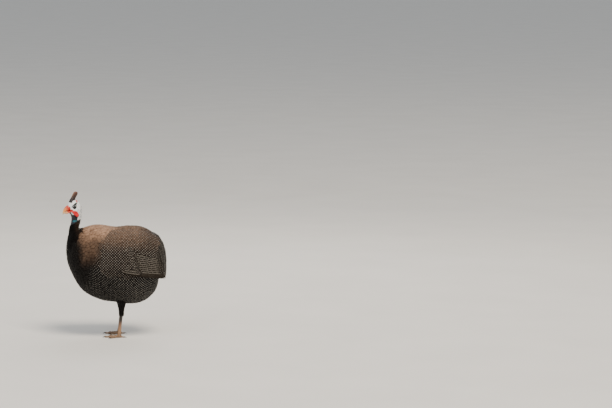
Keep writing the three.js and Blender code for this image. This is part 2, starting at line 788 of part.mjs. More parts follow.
// Everything on the head turns with it about the upright axis of the neck.
const head = new THREE.Group();
head.position.x = NECK_X;
head.rotation.z = HEAD_TURN;
const onHead = new THREE.Group();
onHead.position.x = -NECK_X;
head.add(onHead);
onHead.add(
  piece("head", headShape(), "faceSkin"),
  piece("casque", casque(), "casque"),
  piece("bill_upper", billUpper(), "bill"),
  piece("bill_lower", billLower(), "bill"),
);
bird.add(head);

[
  { word: "left", side: LEFT },
  { word: "right", side: RIGHT },
].forEach(({ word, side }, number) => {
  onHead.add(
    piece(`eye_${word}`, eye(side), "eye"),
    piece(`wattle_${word}`, wattle(side), "redSkin"),
  );
  bird.add(
    piece(`wing_${word}`, wing(side, 11 + number), "flightFeathers"),
    piece(`thigh_${word}`, thigh(side), "plumage"),
    piece(`shank_${word}`, shank(side), "legSkin"),
    piece(`foot_${word}`, foot(side), "legSkin"),
  );
  TOES.forEach((toe) => {
    bird.add(piece(`claw_${toe.name}_${word}`, claw(side, toe), "claw"));
  });
});

export default bird;
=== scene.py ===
import math

import bpy
import numpy as np
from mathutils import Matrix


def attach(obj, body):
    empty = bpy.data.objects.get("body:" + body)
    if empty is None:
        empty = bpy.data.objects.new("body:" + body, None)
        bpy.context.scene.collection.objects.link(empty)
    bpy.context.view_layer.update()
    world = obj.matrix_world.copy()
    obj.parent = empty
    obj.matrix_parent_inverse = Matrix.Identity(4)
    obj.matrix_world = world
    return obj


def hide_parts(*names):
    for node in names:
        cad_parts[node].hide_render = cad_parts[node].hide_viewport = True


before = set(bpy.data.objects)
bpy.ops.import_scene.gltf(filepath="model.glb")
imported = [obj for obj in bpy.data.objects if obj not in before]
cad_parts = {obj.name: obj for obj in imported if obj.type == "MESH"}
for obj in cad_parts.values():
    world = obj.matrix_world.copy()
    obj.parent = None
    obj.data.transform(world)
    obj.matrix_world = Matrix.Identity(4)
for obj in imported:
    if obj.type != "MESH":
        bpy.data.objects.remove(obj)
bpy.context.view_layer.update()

# A standing pearl guinea fowl in its plumage. Lengths are in millimetres until a mesh is made, and the
# frame is the solids' own: the bird faces -X, its left side is -Y, and +Z is up from the floor.

MM = 0.001
LEFT = -1
RIGHT = 1

# Where the random draws of each part start.
SEEDS = {"body": 3, "tail": 7, "wing": 11, "hairs": 23, "thigh": 31}

# Body: cross-sections from the bill root to the tail root. Each row is where the section meets the back
# of the outline (x, z), where it meets the front (x, z), its half-width and its fullness (2 is an oval,
# more is boxier).
SECTIONS = np.array([
    (-165.0, 449.0, -158.0, 427.0, 8.5, 2.1),
    (-160.0, 460.0, -154.5, 419.5, 12.6, 2.1),
    (-147.0, 466.5, -151.0, 412.0, 15.2, 2.1),
    (-131.0, 464.0, -149.5, 405.0, 15.6, 2.1),
    (-119.5, 449.0, -149.5, 399.0, 14.6, 2.1),
    (-117.0, 428.0, -150.5, 393.0, 13.8, 2.0),
    (-118.5, 408.0, -152.0, 386.0, 13.6, 2.0),
    (-121.5, 391.0, -154.0, 375.0, 14.6, 2.0),
    (-124.5, 378.0, -158.5, 356.0, 20.0, 2.0),
    (-124.0, 370.5, -165.0, 328.0, 38.0, 2.05),
    (-118.0, 370.0, -168.0, 289.0, 60.0, 2.15),
    (-104.0, 373.0, -157.5, 235.0, 81.0, 2.25),
    (-80.0, 380.0, -114.0, 160.0, 95.0, 2.3),
    (-48.0, 381.5, -52.0, 126.0, 101.0, 2.3),
    (0.0, 375.0, 0.0, 117.5, 102.0, 2.3),
    (46.0, 379.0, 46.0, 111.5, 99.0, 2.3),
    (90.0, 375.0, 90.0, 118.0, 89.0, 2.2),
    (124.0, 357.0, 124.0, 141.0, 71.0, 2.1),
    (146.0, 322.0, 144.0, 176.0, 49.0, 2.0),
    (154.0, 250.0, 154.0, 250.0, 0.0, 2.0),
])
VENT = len(SECTIONS) - 1
HEAD_END = 4.75
NECK_SPLIT = 6.9
NECK_END = 8.5
NECK_X = -136.0
HEAD_TURN = math.radians(28)
COAT_DEPTH = 6.5

EYE = (-146.5, 441.5)
EYE_RADIUS = 5.2
EYE_OUT = 11.9
EYE_SUNK = 2.5
EAR = (-134.0, 431.0)

LEG_Y = 38.0
LEG_X = 20.0
FOOT_X = 13.0
HOCK_Z = 77.0
ANKLE_Z = 13.0

# Where along the bird, how far the folded wing lies from its middle, and how far its arch goes up.
WING_BED = np.array([
    (-100.0, 88.0, 124.0), (-60.0, 100.0, 128.0), (0.0, 107.0, 130.0), (60.0, 105.0, 132.0),
    (110.0, 93.0, 121.0), (150.0, 71.0, 100.0), (180.0, 54.0, 84.0),
])
WING_MIDDLE_Z = 246.0
WING_DROP = 129.0

TAIL_LINE = np.array([
    (108.0, 361.0), (134.0, 350.5), (155.0, 328.0), (167.5, 296.0), (172.5, 260.0), (172.5, 222.0),
    (168.0, 189.0),
])
TAIL_HALF_ROOT = 26.0
TAIL_HALF_TIP = 54.0


# Curves and surfaces

def through(rows, place):
    """A smooth curve through the rows, at places counted in rows: each span is the cubic whose slope at a
    row is half the step between the rows on either side of it."""
    last = len(rows) - 1
    row = np.clip(np.floor(place).astype(int), 0, last - 1)
    f = (place - row)[..., None]
    a, b, c, d = (rows[np.clip(row + k, 0, last)] for k in (-1, 0, 1, 2))
    start = (c - a) / 2
    stop = (d - b) / 2
    step = c - b
    return b + f * (start + f * (3 * step - 2 * start - stop + f * (start + stop - 2 * step)))


def smooth(low, high, value):
    """0 below low, 1 above high, and 3s^2 - 2s^3 of the share s between them."""
    share = np.clip((value - low) / (high - low), 0, 1)
    return share * share * (3 - 2 * share)


def power(value, exponent):
    return np.sign(value) * np.abs(value) ** exponent


def together(*parts):
    """Numbers and arrays side by side, along a new last axis."""
    return np.stack(np.broadcast_arrays(*parts), axis=-1)


def unit(vectors):
    return vectors / np.maximum(np.linalg.norm(vectors, axis=-1, keepdims=True), 1e-9)


def shares(rows):
    """Even shares from 0 to 1, as one column."""
    return np.linspace(0, 1, rows)[:, None]


def turns(columns, shift=0.0):
    """Even angles all the way round, as one row, the first a part of a step on."""
    return (2 * np.pi * (np.arange(columns) + shift) / columns)[None, :]


def turned(points, angle):
    """Points turned by an angle, in radians, about the upright axis of the neck."""
    x, y = points[..., 0] - NECK_X, points[..., 1]
    cosine, sine = np.cos(angle), np.sin(angle)
    return together(NECK_X + x * cosine - y * sine, x * sine + y * cosine, points[..., 2])


def ovals(at, angle, exponent=1.0, middle=0.0):
    """Points round sections given by a back point and a front point (x, z) and a half-width. Along the
    back-to-front line a point stands at the cosine of the angle, across it at the sine, both raised to
    the exponent; angle 0 is the back and a quarter turn the right side."""
    rise = power(np.cos(angle), exponent)
    return together(
        (at[..., 0] + at[..., 2] + rise * (at[..., 0] - at[..., 2])) / 2,
        middle + np.maximum(at[..., 4], 0) * power(np.sin(angle), exponent),
        (at[..., 1] + at[..., 3] + rise * (at[..., 1] - at[..., 3])) / 2,
    )


def body_straight(place, angle):
    """The body with the head looking ahead, its ovals made boxier by 2 / fullness."""
    place, angle = np.broadcast_arrays(place, angle)
    rows = through(SECTIONS, np.clip(place, 0, VENT))
    return ovals(rows, angle, 2 / rows[..., 5])


def body(place, angle):
    """The body with the head turned, the turn fading out down the neck."""
    turn = HEAD_TURN * (1 - smooth(HEAD_END + 0.3, NECK_END + 0.4, np.asarray(place, float)))
    return turned(body_straight(place, angle), turn)


def normals(surface, a, b, step=0.01):
    """Unit normals: the cross product of the surface's two slopes."""
    along = surface(a + step, b) - surface(a - step, b)
    across = surface(a, b + step) - surface(a, b - step)
    return unit(np.cross(along, across))


def side_loft(sections, rows, columns, middle=0.0):
    """A closed loft: the smooth curve through its sections, as ovals."""
    table = np.array(sections, float)
    place, angle = np.broadcast_arrays(shares(rows) * (len(table) - 1), turns(columns))
    return ovals(through(table, place), angle, middle=middle)


# Meshes

def stand(name, data):
    """A new object in the scene, at the origin."""
    thing = bpy.data.objects.new(name, data)
    bpy.context.scene.collection.objects.link(thing)
    return thing


def new_piece(name, points, faces, material, slot, uvs=None, markings=None, replaces=()):
    """One mesh object from points in millimetres and faces that look outwards. uvs holds named maps and
    markings named colour attributes, both with a row per point."""
    mesh = bpy.data.meshes.new(name)
    mesh.from_pydata((points * MM).tolist(), [], faces)
    loops = np.empty(len(mesh.loops), int)
    mesh.loops.foreach_get("vertex_index", loops)
    for key, values in (uvs or {}).items():
        layer = mesh.uv_layers.new(name=key)
        layer.data.foreach_set("uv", values[loops].astype(np.float32).ravel())
    for key, values in (markings or {}).items():
        layer = mesh.attributes.new(key, "FLOAT_COLOR", "POINT")
        layer.data.foreach_set("color", values.astype(np.float32).ravel())
    mesh.polygons.foreach_set("use_smooth", np.ones(len(mesh.polygons), bool))
    mesh.validate()
    mesh.update()
    mesh.materials.append(material)
    piece = stand(name, mesh)
    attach(piece, "root")
    if replaces:
        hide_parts(*replaces)
    return piece


def tube_faces(rows, columns):
    """Quads of a tube whose columns close on themselves, and a many-sided cap on each end."""
    i, j = np.meshgrid(np.arange(rows - 1), np.arange(columns), indexing="ij")
    k = (j + 1) % columns
    below, above = i * columns, (i + 1) * columns
    quads = together(below + j, below + k, above + k, above + j)
    ends = [list(range(columns - 1, -1, -1)), list(range((rows - 1) * columns, rows * columns))]
    return quads.reshape(-1, 4).tolist() + ends


def many_tubes(count, rows, columns, flip=False):
    """The faces of a number of equal tubes, whose points follow each other: all the quads, then all the
    caps."""
    faces = tube_faces(rows, columns)
    start = (np.arange(count) * rows * columns)[:, None, None]
    turn = -1 if flip else 1
    quads = (start + np.array(faces[:-2])).reshape(-1, 4)[:, ::turn]
    caps = (start + np.array(faces[-2:])).reshape(-1, columns)[:, ::turn]
    return quads.tolist() + caps.tolist()


def inside_out(points, faces):
    """Whether a closed shape's volume comes out negative."""
    a, b, c = (points[[face[k] for face in faces]] for k in range(3))
    return (a * np.cross(b, c)).sum() < 0


def outward(points, faces):
    """The faces, turned about if they are inside out."""
    return [face[::-1] for face in faces] if inside_out(points, faces) else faces


def tube_map(rows, columns):
    """A map of a tube: round it along u, from its start to its end along v."""
    return together(np.linspace(0, 1, columns), shares(rows)).reshape(-1, 2)


def joined_tubes(name, grids, material, slot, replaces=()):
    """One or more closed tubes as one piece."""
    faces = []
    start = 0
    for grid in grids:
        these = grid.reshape(-1, 3)
        for face in outward(these - these.mean(axis=0), tube_faces(*grid.shape[:2])):
            faces.append([corner + start for corner in face])
        start += len(these)
    points = np.concatenate([grid.reshape(-1, 3) for grid in grids])
    maps = {"around": np.concatenate([tube_map(*grid.shape[:2]) for grid in grids])}
    return new_piece(name, points, faces, material, slot, maps, replaces=replaces)


def tube_piece(name, grid, material, slot, replaces=()):
    return joined_tubes(name, [grid], material, slot, replaces)


# Materials

def srgb(code):
    """A hex colour as linear red, green, blue and alpha."""
    parts = [int(code[k:k + 2], 16) / 255 for k in (1, 3, 5)]
    return [part / 12.92 if part <= 0.04045 else ((part + 0.055) / 1.055) ** 2.4 for part in parts] + [1.0]


def fill(tree, node, values):
    """Sets a node's inputs, in order or by name, to fixed values or to other nodes' outputs."""
    for key, value in values.items() if isinstance(values, dict) else enumerate(values):
        if isinstance(value, bpy.types.NodeSocket):
            tree.links.new(value, node.inputs[key])
        else:
            node.inputs[key].default_value = value


def add(tree, kind, values=(), out=0, stops=(), **settings):
    """Adds a node with its settings and links, and returns one of its outputs, or all where out is None.
    stops are a ramp's shares and hex colours."""
    node = tree.nodes.new("ShaderNode" + kind)
    for key, value in settings.items():
        setattr(node, key, value)
    fill(tree, node, values)
    if stops:
        marks = node.color_ramp.elements
        for mark, (where, code) in ((marks[0], stops[0]), (marks[1], stops[-1])):
            mark.position = where
            mark.color = srgb(code)
        for where, code in stops[1:-1]:
            marks.new(where).color = srgb(code)
    return node.outputs if out is None else node.outputs[out]


def new_material(name):
    """An empty material and its tree, its shader and the point that its patterns read."""
    material = bpy.data.materials.new(name)
    material.use_nodes = True
    tree = material.node_tree
    return material, tree, tree.nodes["Principled BSDF"], add(tree, "TexCoord", out="Object")


def product(tree, first, *others):
    """Numbers or outputs multiplied together."""
    for other in others:
        first = add(tree, "Math", [first, other], operation="MULTIPLY")
    return first


def rising(tree, value, start, gain):
    """(value - start) * gain, kept between 0 and 1."""
    above = add(tree, "Math", [value, start], operation="SUBTRACT")
    return add(tree, "Math", [above, gain], operation="MULTIPLY", use_clamp=True)


def laid_over(tree, colour, *layers):
    """A colour under others, each with its share. Inputs 6 and 7 and output 2 are a mix's colours."""
    for share, above in layers:
        colour = add(tree, "Mix", {"Factor": share, 6: colour, 7: above}, out=2, data_type="RGBA")
    return colour


def map_parts(tree, name):
    """The two numbers of a named map."""
    return add(tree, "SeparateXYZ", [add(tree, "UVMap", out="UV", uv_map=name)], out=None)[:2]


def painted(tree, name):
    """The four numbers of a named colour attribute."""
    paint = add(tree, "Attribute", out=None, attribute_name=name)
    return [*add(tree, "SeparateColor", [paint["Color"]], out=None), paint["Alpha"]]


def dress(tree, shader, height, strength, deep, blend_share, rough, **more):
    """Joins up a shader: a bump whose full height is deep metres, a roughness that worn moves between the
    two of rough, and more of its inputs."""
    bump = add(tree, "Bump", {"Height": height, "Strength": strength, "Distance": deep})
    sheen = add(tree, "MapRange", {"Value": blend_share, "To Min": rough[0], "To Max": rough[1]})
    fill(tree, shader, {"Normal": bump, "Roughness": sheen})
    fill(tree, shader, {key.replace("_", " "): value for key, value in more.items()})


# Horn and feather bend light alike. Flight feathers count their own pearls across half the vane and along
# it.
HORN_IOR = 1.54
PEARLS_ACROSS = 1.6
PEARLS_ALONG = 9.0
PEARL_EDGE = 12.0


def feather_material(name, dark, warm, spot, rough, flight=False):
    """Feather: keratin barbs, matt, a little shiny along the shaft. The vane's own map gives u across and
    v along it. Marking's red share turns the dark ground warm, green sets the size of the pearls, blue
    the strength of the fine flecks between them, and alpha is a number of the feather's own."""
    material, tree, shader, place = new_material(name)
    u, along = map_parts(tree, "vane")
    warmth, size, flecks, own = painted(tree, "marking")
    across = add(tree, "Math", [u, 2.0, -1.0], operation="MULTIPLY_ADD")
    apart = add(tree, "Math", [across], operation="ABSOLUTE")
    # Pearls stand in a staggered lattice: two slanting counts, each folded to its nearest whole number.
    # On a flight feather the counts run out and along the vane itself; elsewhere they are the whole
    # coat's.
    if flight:
        first = product(tree, apart, PEARLS_ACROSS)
        second = add(tree, "Math", [along, PEARLS_ALONG, own], operation="MULTIPLY_ADD")
    else:
        first, second = map_parts(tree, "pearls")
    folded = []
    for operation in ("ADD", "SUBTRACT"):
        count = add(tree, "Math", [second, first], operation=operation)
        folded.append(add(tree, "Math", [count, 0.5], operation="PINGPONG"))
    one, other = folded
    square = add(tree, "Math", [one, one, product(tree, other, other)], operation="MULTIPLY_ADD")
    reach = add(tree, "Math", [square], operation="SQRT")
    wobble = add(tree, "TexNoise", {"Vector": place, "Scale": 420.0, "Detail": 2.0})
    edge = add(tree, "Math", [wobble, 0.12, reach], operation="MULTIPLY_ADD")
    full = add(tree, "Math", [size, 0.06], operation="ADD")
    has = add(tree, "Math", [size, 0.02], operation="GREATER_THAN")
    pearl = product(tree, rising(tree, full, edge, PEARL_EDGE), has)
    if flight:
        # The lower web is edged with a pale line, broken by the barbs and gone before the tip.
        ends = rising(tree, 0.94, along, 8.0)
        pale = product(tree, rising(tree, across, 0.72, 7.0), has, wobble, 0.95, ends)
        pearl = add(tree, "Math", [pearl, pale], operation="MAXIMUM")
    # Fine pale flecks, about a millimetre apart, cross the ground between the pearls.
    fine = add(tree, "TexNoise", {"Vector": place, "Scale": 900.0, "Detail": 3.0, "Roughness": 0.6})
    fleck = product(tree, rising(tree, fine, 0.5, 5.0), flecks)
    patch = add(tree, "TexNoise", {"Vector": place, "Scale": 28.0, "Detail": 2.0})
    uneven = add(tree, "Math", [own, patch], operation="ADD")
    shade = add(tree, "Math", [uneven, 0.42, 0.58], operation="MULTIPLY_ADD")
    ground = laid_over(tree, srgb(dark), (warmth, srgb(warm)))
    ground = add(tree, "VectorMath", {0: ground, "Scale": shade}, operation="SCALE")
    # The shaft is a paler line down the middle.
    shaft = product(tree, rising(tree, 0.035, apart, 40.0), 0.35 if flight else 0.12)
    colour = laid_over(tree, ground, *((share, srgb(spot)) for share in (fleck, pearl, shaft)))
    # Barbs run out and forward from the shaft, about 0.4 mm apart, drawn at 0.8 mm to show.
    slant = add(tree, "Math", [apart, -0.25, along], operation="MULTIPLY_ADD")
    barb = add(tree, "Math", [product(tree, slant, 260.0 if flight else 150.0)], operation="SINE")
    height = add(tree, "Math", [barb, 0.5, product(tree, shaft, 2.0)], operation="MULTIPLY_ADD")
    dress(
        tree, shader, height, 0.25, 0.0004, wobble, (rough - 0.08, rough + 0.1),
        Base_Color=colour, IOR=HORN_IOR, Specular_IOR_Level=0.1 if flight else 0.06,
    )
    return material


def bare_skin():
    """Bare skin: thin, dull and pebbled. White on the face and down the nape, black on the brow,
    turquoise at the top of the neck, red round the bill, and blue-black below. The paint attribute's four
    channels are the shares of white, black, turquoise and red; under the plumage it is dark down."""
    material, tree, shader, place = new_material("Bare skin, pebbled")
    *flat, rosy = painted(tree, "paint")
    ragged = add(tree, "TexNoise", {"Vector": place, "Scale": 260.0, "Detail": 3.0})
    ragged = add(tree, "Math", [ragged, 0.36, -0.18], operation="MULTIPLY_ADD")
    mottle = add(tree, "TexNoise", {"Vector": place, "Scale": 110.0, "Detail": 3.0})
    white, black, blue = (
        rising(tree, add(tree, "Math", [share, ragged], operation="ADD"), 0.3, 2.6) for share in flat)
    rosy = rising(tree, add(tree, "Math", [rosy, mottle], operation="ADD"), 0.7, 2.5)
    colours = [
        (None, [(0.3, "#0d0e12"), (0.55, "#151b27"), (0.8, "#233247")]),
        (white, [(0.3, "#ccd8dc"), (0.5, "#eef2f1"), (0.75, "#faf8f4")]),
        (blue, [(0.3, "#042c3c"), (0.7, "#166f7c")]),
        (black, [(0.35, "#0c0d0e"), (0.7, "#1b2629")]),
        (rosy, [(0.3, "#a3141a"), (0.7, "#d5392f")]),
    ]
    layers = [(share, add(tree, "ValToRGB", [mottle], stops=stops)) for share, stops in colours]
    pebbles = add(tree, "TexVoronoi", {"Vector": place, "Scale": 1100.0}, out="Distance")
    folds = add(tree, "TexNoise", {"Vector": place, "Scale": 300.0, "Detail": 3.0})
    height = add(tree, "Math", [pebbles, 0.6, folds], operation="MULTIPLY_ADD")
    dress(
        tree, shader, height, 0.5, 0.0006, folds, (0.42, 0.68),
        Base_Color=laid_over(tree, layers[0][1], *layers[1:]),
        Subsurface_Weight=0.06, Subsurface_Radius=(0.003, 0.0015, 0.001),
    )
    return material


def tissue(name, stops, scale, rough, deep, pebbles, weight=0.0):
    """Living tissue or horn in one family of colours: a noise picks the colour, and pebbles or grain
    roughen it."""
    material, tree, shader, place = new_material(name)
    mottle = add(tree, "TexNoise", {"Vector": place, "Scale": scale, "Detail": 4.0})
    grain = add(tree, "TexVoronoi", {"Vector": place, "Scale": pebbles}, out="Distance")
    height = add(tree, "Math", [grain, mottle], operation="ADD")
    dress(
        tree, shader, height, 0.5, deep, mottle, (rough - 0.08, rough + 0.12),
        Base_Color=add(tree, "ValToRGB", [mottle], stops=stops),
        Subsurface_Weight=weight, Subsurface_Radius=(0.004, 0.0012, 0.0008),
    )
    return material


def along_piece(name, stops, rough, grain_scale, deep, edge_highlight=None):
    """Horn or scaly skin whose colour changes from a piece's start to its end, read from the piece's own
    map. Given a highlight colour, a painted highlight is laid along the front edge, halfway round the map."""
    material, tree, shader, place = new_material(name)
    u, v = map_parts(tree, "around")
    mottle = add(tree, "TexNoise", {"Vector": place, "Scale": grain_scale, "Detail": 4.0})
    back = add(tree, "Math", [v, 0.15], operation="SUBTRACT")
    moved = add(tree, "Math", [mottle, 0.3, back], operation="MULTIPLY_ADD")
    colour = add(tree, "ValToRGB", [moved], stops=stops)
    # Painted highlight: a paler colour along the front edge, where the light catches it, kept off the dark
    # base.
    if edge_highlight:
        aside = add(tree, "Math", [u, 0.5], operation="SUBTRACT")
        off = add(tree, "Math", [aside], operation="ABSOLUTE")
        blend_share = product(tree, rising(tree, 0.16, off, 9.0), rising(tree, moved, 0.34, 4.0), mottle)
        colour = laid_over(tree, colour, (blend_share, srgb(edge_highlight)))
    dress(
        tree, shader, mottle, 0.5, deep, mottle, (rough - 0.1, rough + 0.14),
        Base_Color=colour, IOR=HORN_IOR,
    )
    return material


def eye_material():
    """Eye: a wet cornea over a dark brown iris with a black pupil. Distance from the eye's own axis, kept
    in the piece's map, parts the pupil from the iris."""
    material, tree, shader, place = new_material("Eye, wet cornea")
    out = map_parts(tree, "around")[1]
    threads = add(tree, "TexNoise", {"Vector": place, "Scale": 900.0, "Detail": 3.0})
    moved = add(tree, "Math", [threads, 0.03, out], operation="MULTIPLY_ADD")
    iris = add(tree, "ValToRGB", [moved], stops=[
        (0.19, "#040303"), (0.22, "#24140d"), (0.34, "#3a2216"), (0.40, "#0d0806")])
    fill(tree, shader, {
        "Base Color": iris, "Roughness": 0.12, "IOR": 1.38, "Coat Weight": 1.0, "Coat Roughness": 0.03})
    return material


def studio_floor():
    """Studio floor: painted board, matt off-white, rolled on, with a faint mottle."""
    material, tree, shader, place = new_material("Studio floor, matt paint")
    mottle = add(tree, "TexNoise", {"Vector": place, "Scale": 3.0, "Detail": 5.0})
    paint = add(tree, "ValToRGB", [mottle], stops=[(0.3, "#dedcd7"), (0.7, "#e3e1dc")])
    fill(tree, shader, {"Base Color": paint, "Roughness": 0.85})
    return material


# The body feathers' warm colour is partly painted sunlight: the lit brown of the top of the back.
PEARLED = feather_material("Body feather, pearled", "#0e0c0b", "#9b7a62", "#bcb7ae", 0.6)
BLADES = feather_material("Flight feather, barred", "#0b0907", "#2e2419", "#a9a196", 0.5, flight=True)
RUFF = feather_material("Neck feather, plain", "#080605", "#33251c", "#4d3d33", 0.66)
SKIN = bare_skin()
RED = tissue(
    "Wattle, red skin", [(0.3, "#ae0912"), (0.55, "#d90e18"), (0.8, "#ea2f2a")],
    240.0, 0.42, 0.0006, 1300.0, 0.12)
# The casque's last colour is a painted highlight along its front edge.
CASQUE = along_piece(
    "Casque, bony horn", [(0.0, "#120c0b"), (0.3, "#23140f"), (0.65, "#4a2b1c"), (1.0, "#7d4a3c")],
    0.48, 260.0, 0.001, "#c79a78")
BILL = along_piece(
    "Bill, horn",
    [(0.0, "#b3221a"), (0.32, "#cc3a22"), (0.5, "#e08d4a"), (0.75, "#ecb873"), (1.0, "#ecd2a4")],
    0.36, 330.0, 0.0003)
LEG = along_piece(
    "Shank skin, scaled",
    [(0.0, "#161311"), (0.34, "#2b221d"), (0.52, "#7a5c46"), (0.8, "#a37b59"), (1.0, "#84664a")],
    0.52, 700.0, 0.0005)
TOE = tissue(
    "Toe skin, scaled", [(0.3, "#5d4a3c"), (0.55, "#86684c"), (0.8, "#a5835f")], 200.0, 0.52, 0.0006, 650.0)
CLAW = tissue(
    "Claw, horn", [(0.3, "#221c18"), (0.6, "#3b3029"), (0.8, "#5d4d3f")], 160.0, 0.34, 0.0002, 900.0)
EYE_LOOK = eye_material()
FLOOR = studio_floor()


# Skin

def hill(x, z, at, width, height):
    """A round hill of a given height that falls off as exp(-(distance / width)^2)."""
    return height * np.exp(-((x - at[0]) ** 2 + (z - at[1]) ** 2) / width ** 2)


def rim(value, at, width, height):
    """A rounded rim: height exp(-((value - at) / width)^2)."""
    return height * np.exp(-((value - at) / width) ** 2)


def eye_reach(x, z):
    """Distance from the middle of the eye, the lids' oval evened out."""
    return np.hypot((x - EYE[0]) * 0.94, (z - EYE[1]) * 1.12)


def head_relief(points):
    """Height over the plain head: brow, cheek and gape stand out, the eye lies in a socket between raised
    lids, and the ear is a rimmed cup."""
    x, y, z = points[..., 0], points[..., 1], points[..., 2]
    shape = hill(x, z, (EYE[0] + 1, EYE[1] + 9), 6, 1.5) + hill(x, z, EYE, 6.5, -1.9)
    shape = shape + hill(x, z, (EYE[0] + 9, EYE[1] - 13), 9, 1.2)
    reach = eye_reach(x, z)
    lid = rim(reach, 5.1, 0.8, 1.2) - 2.6 * smooth(4.8, 3.8, reach)
    ear = np.hypot(x - EAR[0], z - EAR[1])
    cup = rim(ear, 3.2, 0.8, 0.9) - 2.0 * smooth(2.9, 1.4, ear)
    gape = rim(z, 427.5, 1.3, 0.6) * smooth(-150, -155, x)
    wrinkles = 0.22 * np.sin(z * 1.9 + 0.8 * np.sin(x * 0.5)) * smooth(424, 412, z)
    return smooth(4, 10, np.abs(y)) * (shape + lid + rim(reach, 7.0, 0.6, -0.4) + cup + gape) + wrinkles


def skin_paint(points, place, angle):
    """Shares of white, black, turquoise and red over the head and neck, from places on the head looking
    straight ahead."""
    x, y, z = points[..., 0], points[..., 1], points[..., 2]
    wide = np.abs(y)
    side = smooth(3, 9, wide)
    # Under the chin, in the middle of the throat, the white begins higher, so the throat's front stays
    # dark: painted shade under the head.
    jaw = smooth(415, 421, z - 0.12 * (x + 140)) * (1 - smooth(9, 5, wide) * smooth(432, 426, z))
    behind = smooth(-0.15, 0.1, np.cos(angle))
    nape = behind * smooth(395, 402, z) * smooth(0.2, 2.4, wide + smooth(436, 450, z) * 3)
    white = np.maximum(jaw, 0.92 * nape)
    # The brow is a leaf along a curve that rises to the rear, and the wedge fills the space between it
    # and the lids.
    back = x + 158
    rise = z - (443.8 + 0.86 * back - 0.013 * back ** 2)
    thick = 0.4 + 2.7 * np.sin(np.pi * np.clip(back / 25, 0, 1) ** 1.3)
    brow = smooth(thick + 1.0, thick - 1.0, np.abs(rise)) * smooth(-0.5, 1.5, back) * smooth(25.5, 23, back)
    floor_line = 437.0 + 0.055 * (x + 146) ** 2
    wedge = smooth(thick + 1, thick - 1, rise) * smooth(-136.4, -139, x) * smooth(-1.2, 1.2, z - floor_line)
    lids = np.maximum(0.95 * smooth(6.2, 4.8, eye_reach(x, z)), 0.58 * wedge)
    helmet = smooth(7.5, 4.5, np.hypot(x + 156.5, z - 463.5))
    under = smooth(6.55, 7.0, place)
    black = np.clip(np.maximum.reduce([side * brow, side * lids, helmet, under]), 0, 1)
    patch = np.exp(-(((z - 396.5 - 0.2 * (x + 140)) / 3.8) ** 2 + ((x + 143) / 7.5) ** 4))
    streak = side * rim(x, -127.5, 4.5, 0.6) * smooth(366, 374, z) * smooth(398, 388, z)
    blue = np.maximum(smooth(1, 7, wide) * patch, streak) * (1 - under)
    gape = smooth(5.2, 3.2, np.hypot((x + 156.5) * 0.8, z - 431))
    bill_root = np.maximum(smooth(0.62, 0.4, place), gape) * smooth(447, 442, z)
    red = np.maximum(bill_root, 0.62 * smooth(7.5, 3.5, np.hypot(x + 134, z - 463)))
    return together(white, black, blue, red)


# Rows of the skin over the head, the neck and the body, and columns round it.
SKIN_ROWS = (180, 60, 90)
SKIN_COLUMNS = 248


def coat_depth(place):
    """How far the skin and the feathers' roots lie under the body's surface: nothing on the bare neck."""
    return COAT_DEPTH * smooth(NECK_SPLIT - 0.2, NECK_END + 1.5, place)


def make_skin():
    """One closed skin from the bill root to the vent, the body's surface moved in by the depth of the
    coat."""
    head_rows, neck_rows, trunk_rows = SKIN_ROWS
    place = np.concatenate([
        np.linspace(0, HEAD_END, head_rows, endpoint=False),
        np.linspace(HEAD_END, NECK_END, neck_rows, endpoint=False),
        np.linspace(NECK_END, VENT - 0.02, trunk_rows),
    ])[:, None]
    place, angle = np.broadcast_arrays(place, turns(SKIN_COLUMNS, 0.5))
    straight = body_straight(place, angle)
    depth = np.where(place < NECK_END, head_relief(straight), 0) - coat_depth(place)
    out = normals(body, np.clip(place, 0.02, VENT - 0.05), angle)
    points = (body(place, angle) + out * depth[..., None]).reshape(-1, 3)
    rows, columns = place.shape
    faces = outward(points, tube_faces(rows, columns))
    maps = dict.fromkeys(("around", "OFBake"), tube_map(rows, columns))
    paint = skin_paint(straight, place, angle).reshape(-1, 4)
    replaced = ("head", "neck_upper", "neck_lower", "torso")
    new_piece("skin", points, faces, SKIN, "face_skin", maps, {"paint": paint}, replaced)


# Coat

TOP_ACROSS = np.array([-1.0, -0.5, 0.0, 0.5, 1.0, 0.5, 0.0, -0.5])
TOP_FACE = np.array([0.0, 1.0, 1.0, 1.0, 0.0, -1.0, -1.0, -1.0])
RINGS = 8
SIDES = 8
PATCH = 0.011


def vane_outline(share, root, full, tip, span, sharp, least):
    """A vane's width as a share of its widest: root at its start, whole from the share full on, and from
    the share tip rounded off as sqrt(1 - s^sharp) over the span."""
    end = np.clip((share - tip) / span, 0, 1) ** sharp
    return (root + (1 - root) * smooth(0, full, share)) * np.sqrt(np.clip(1 - end, least, 1))


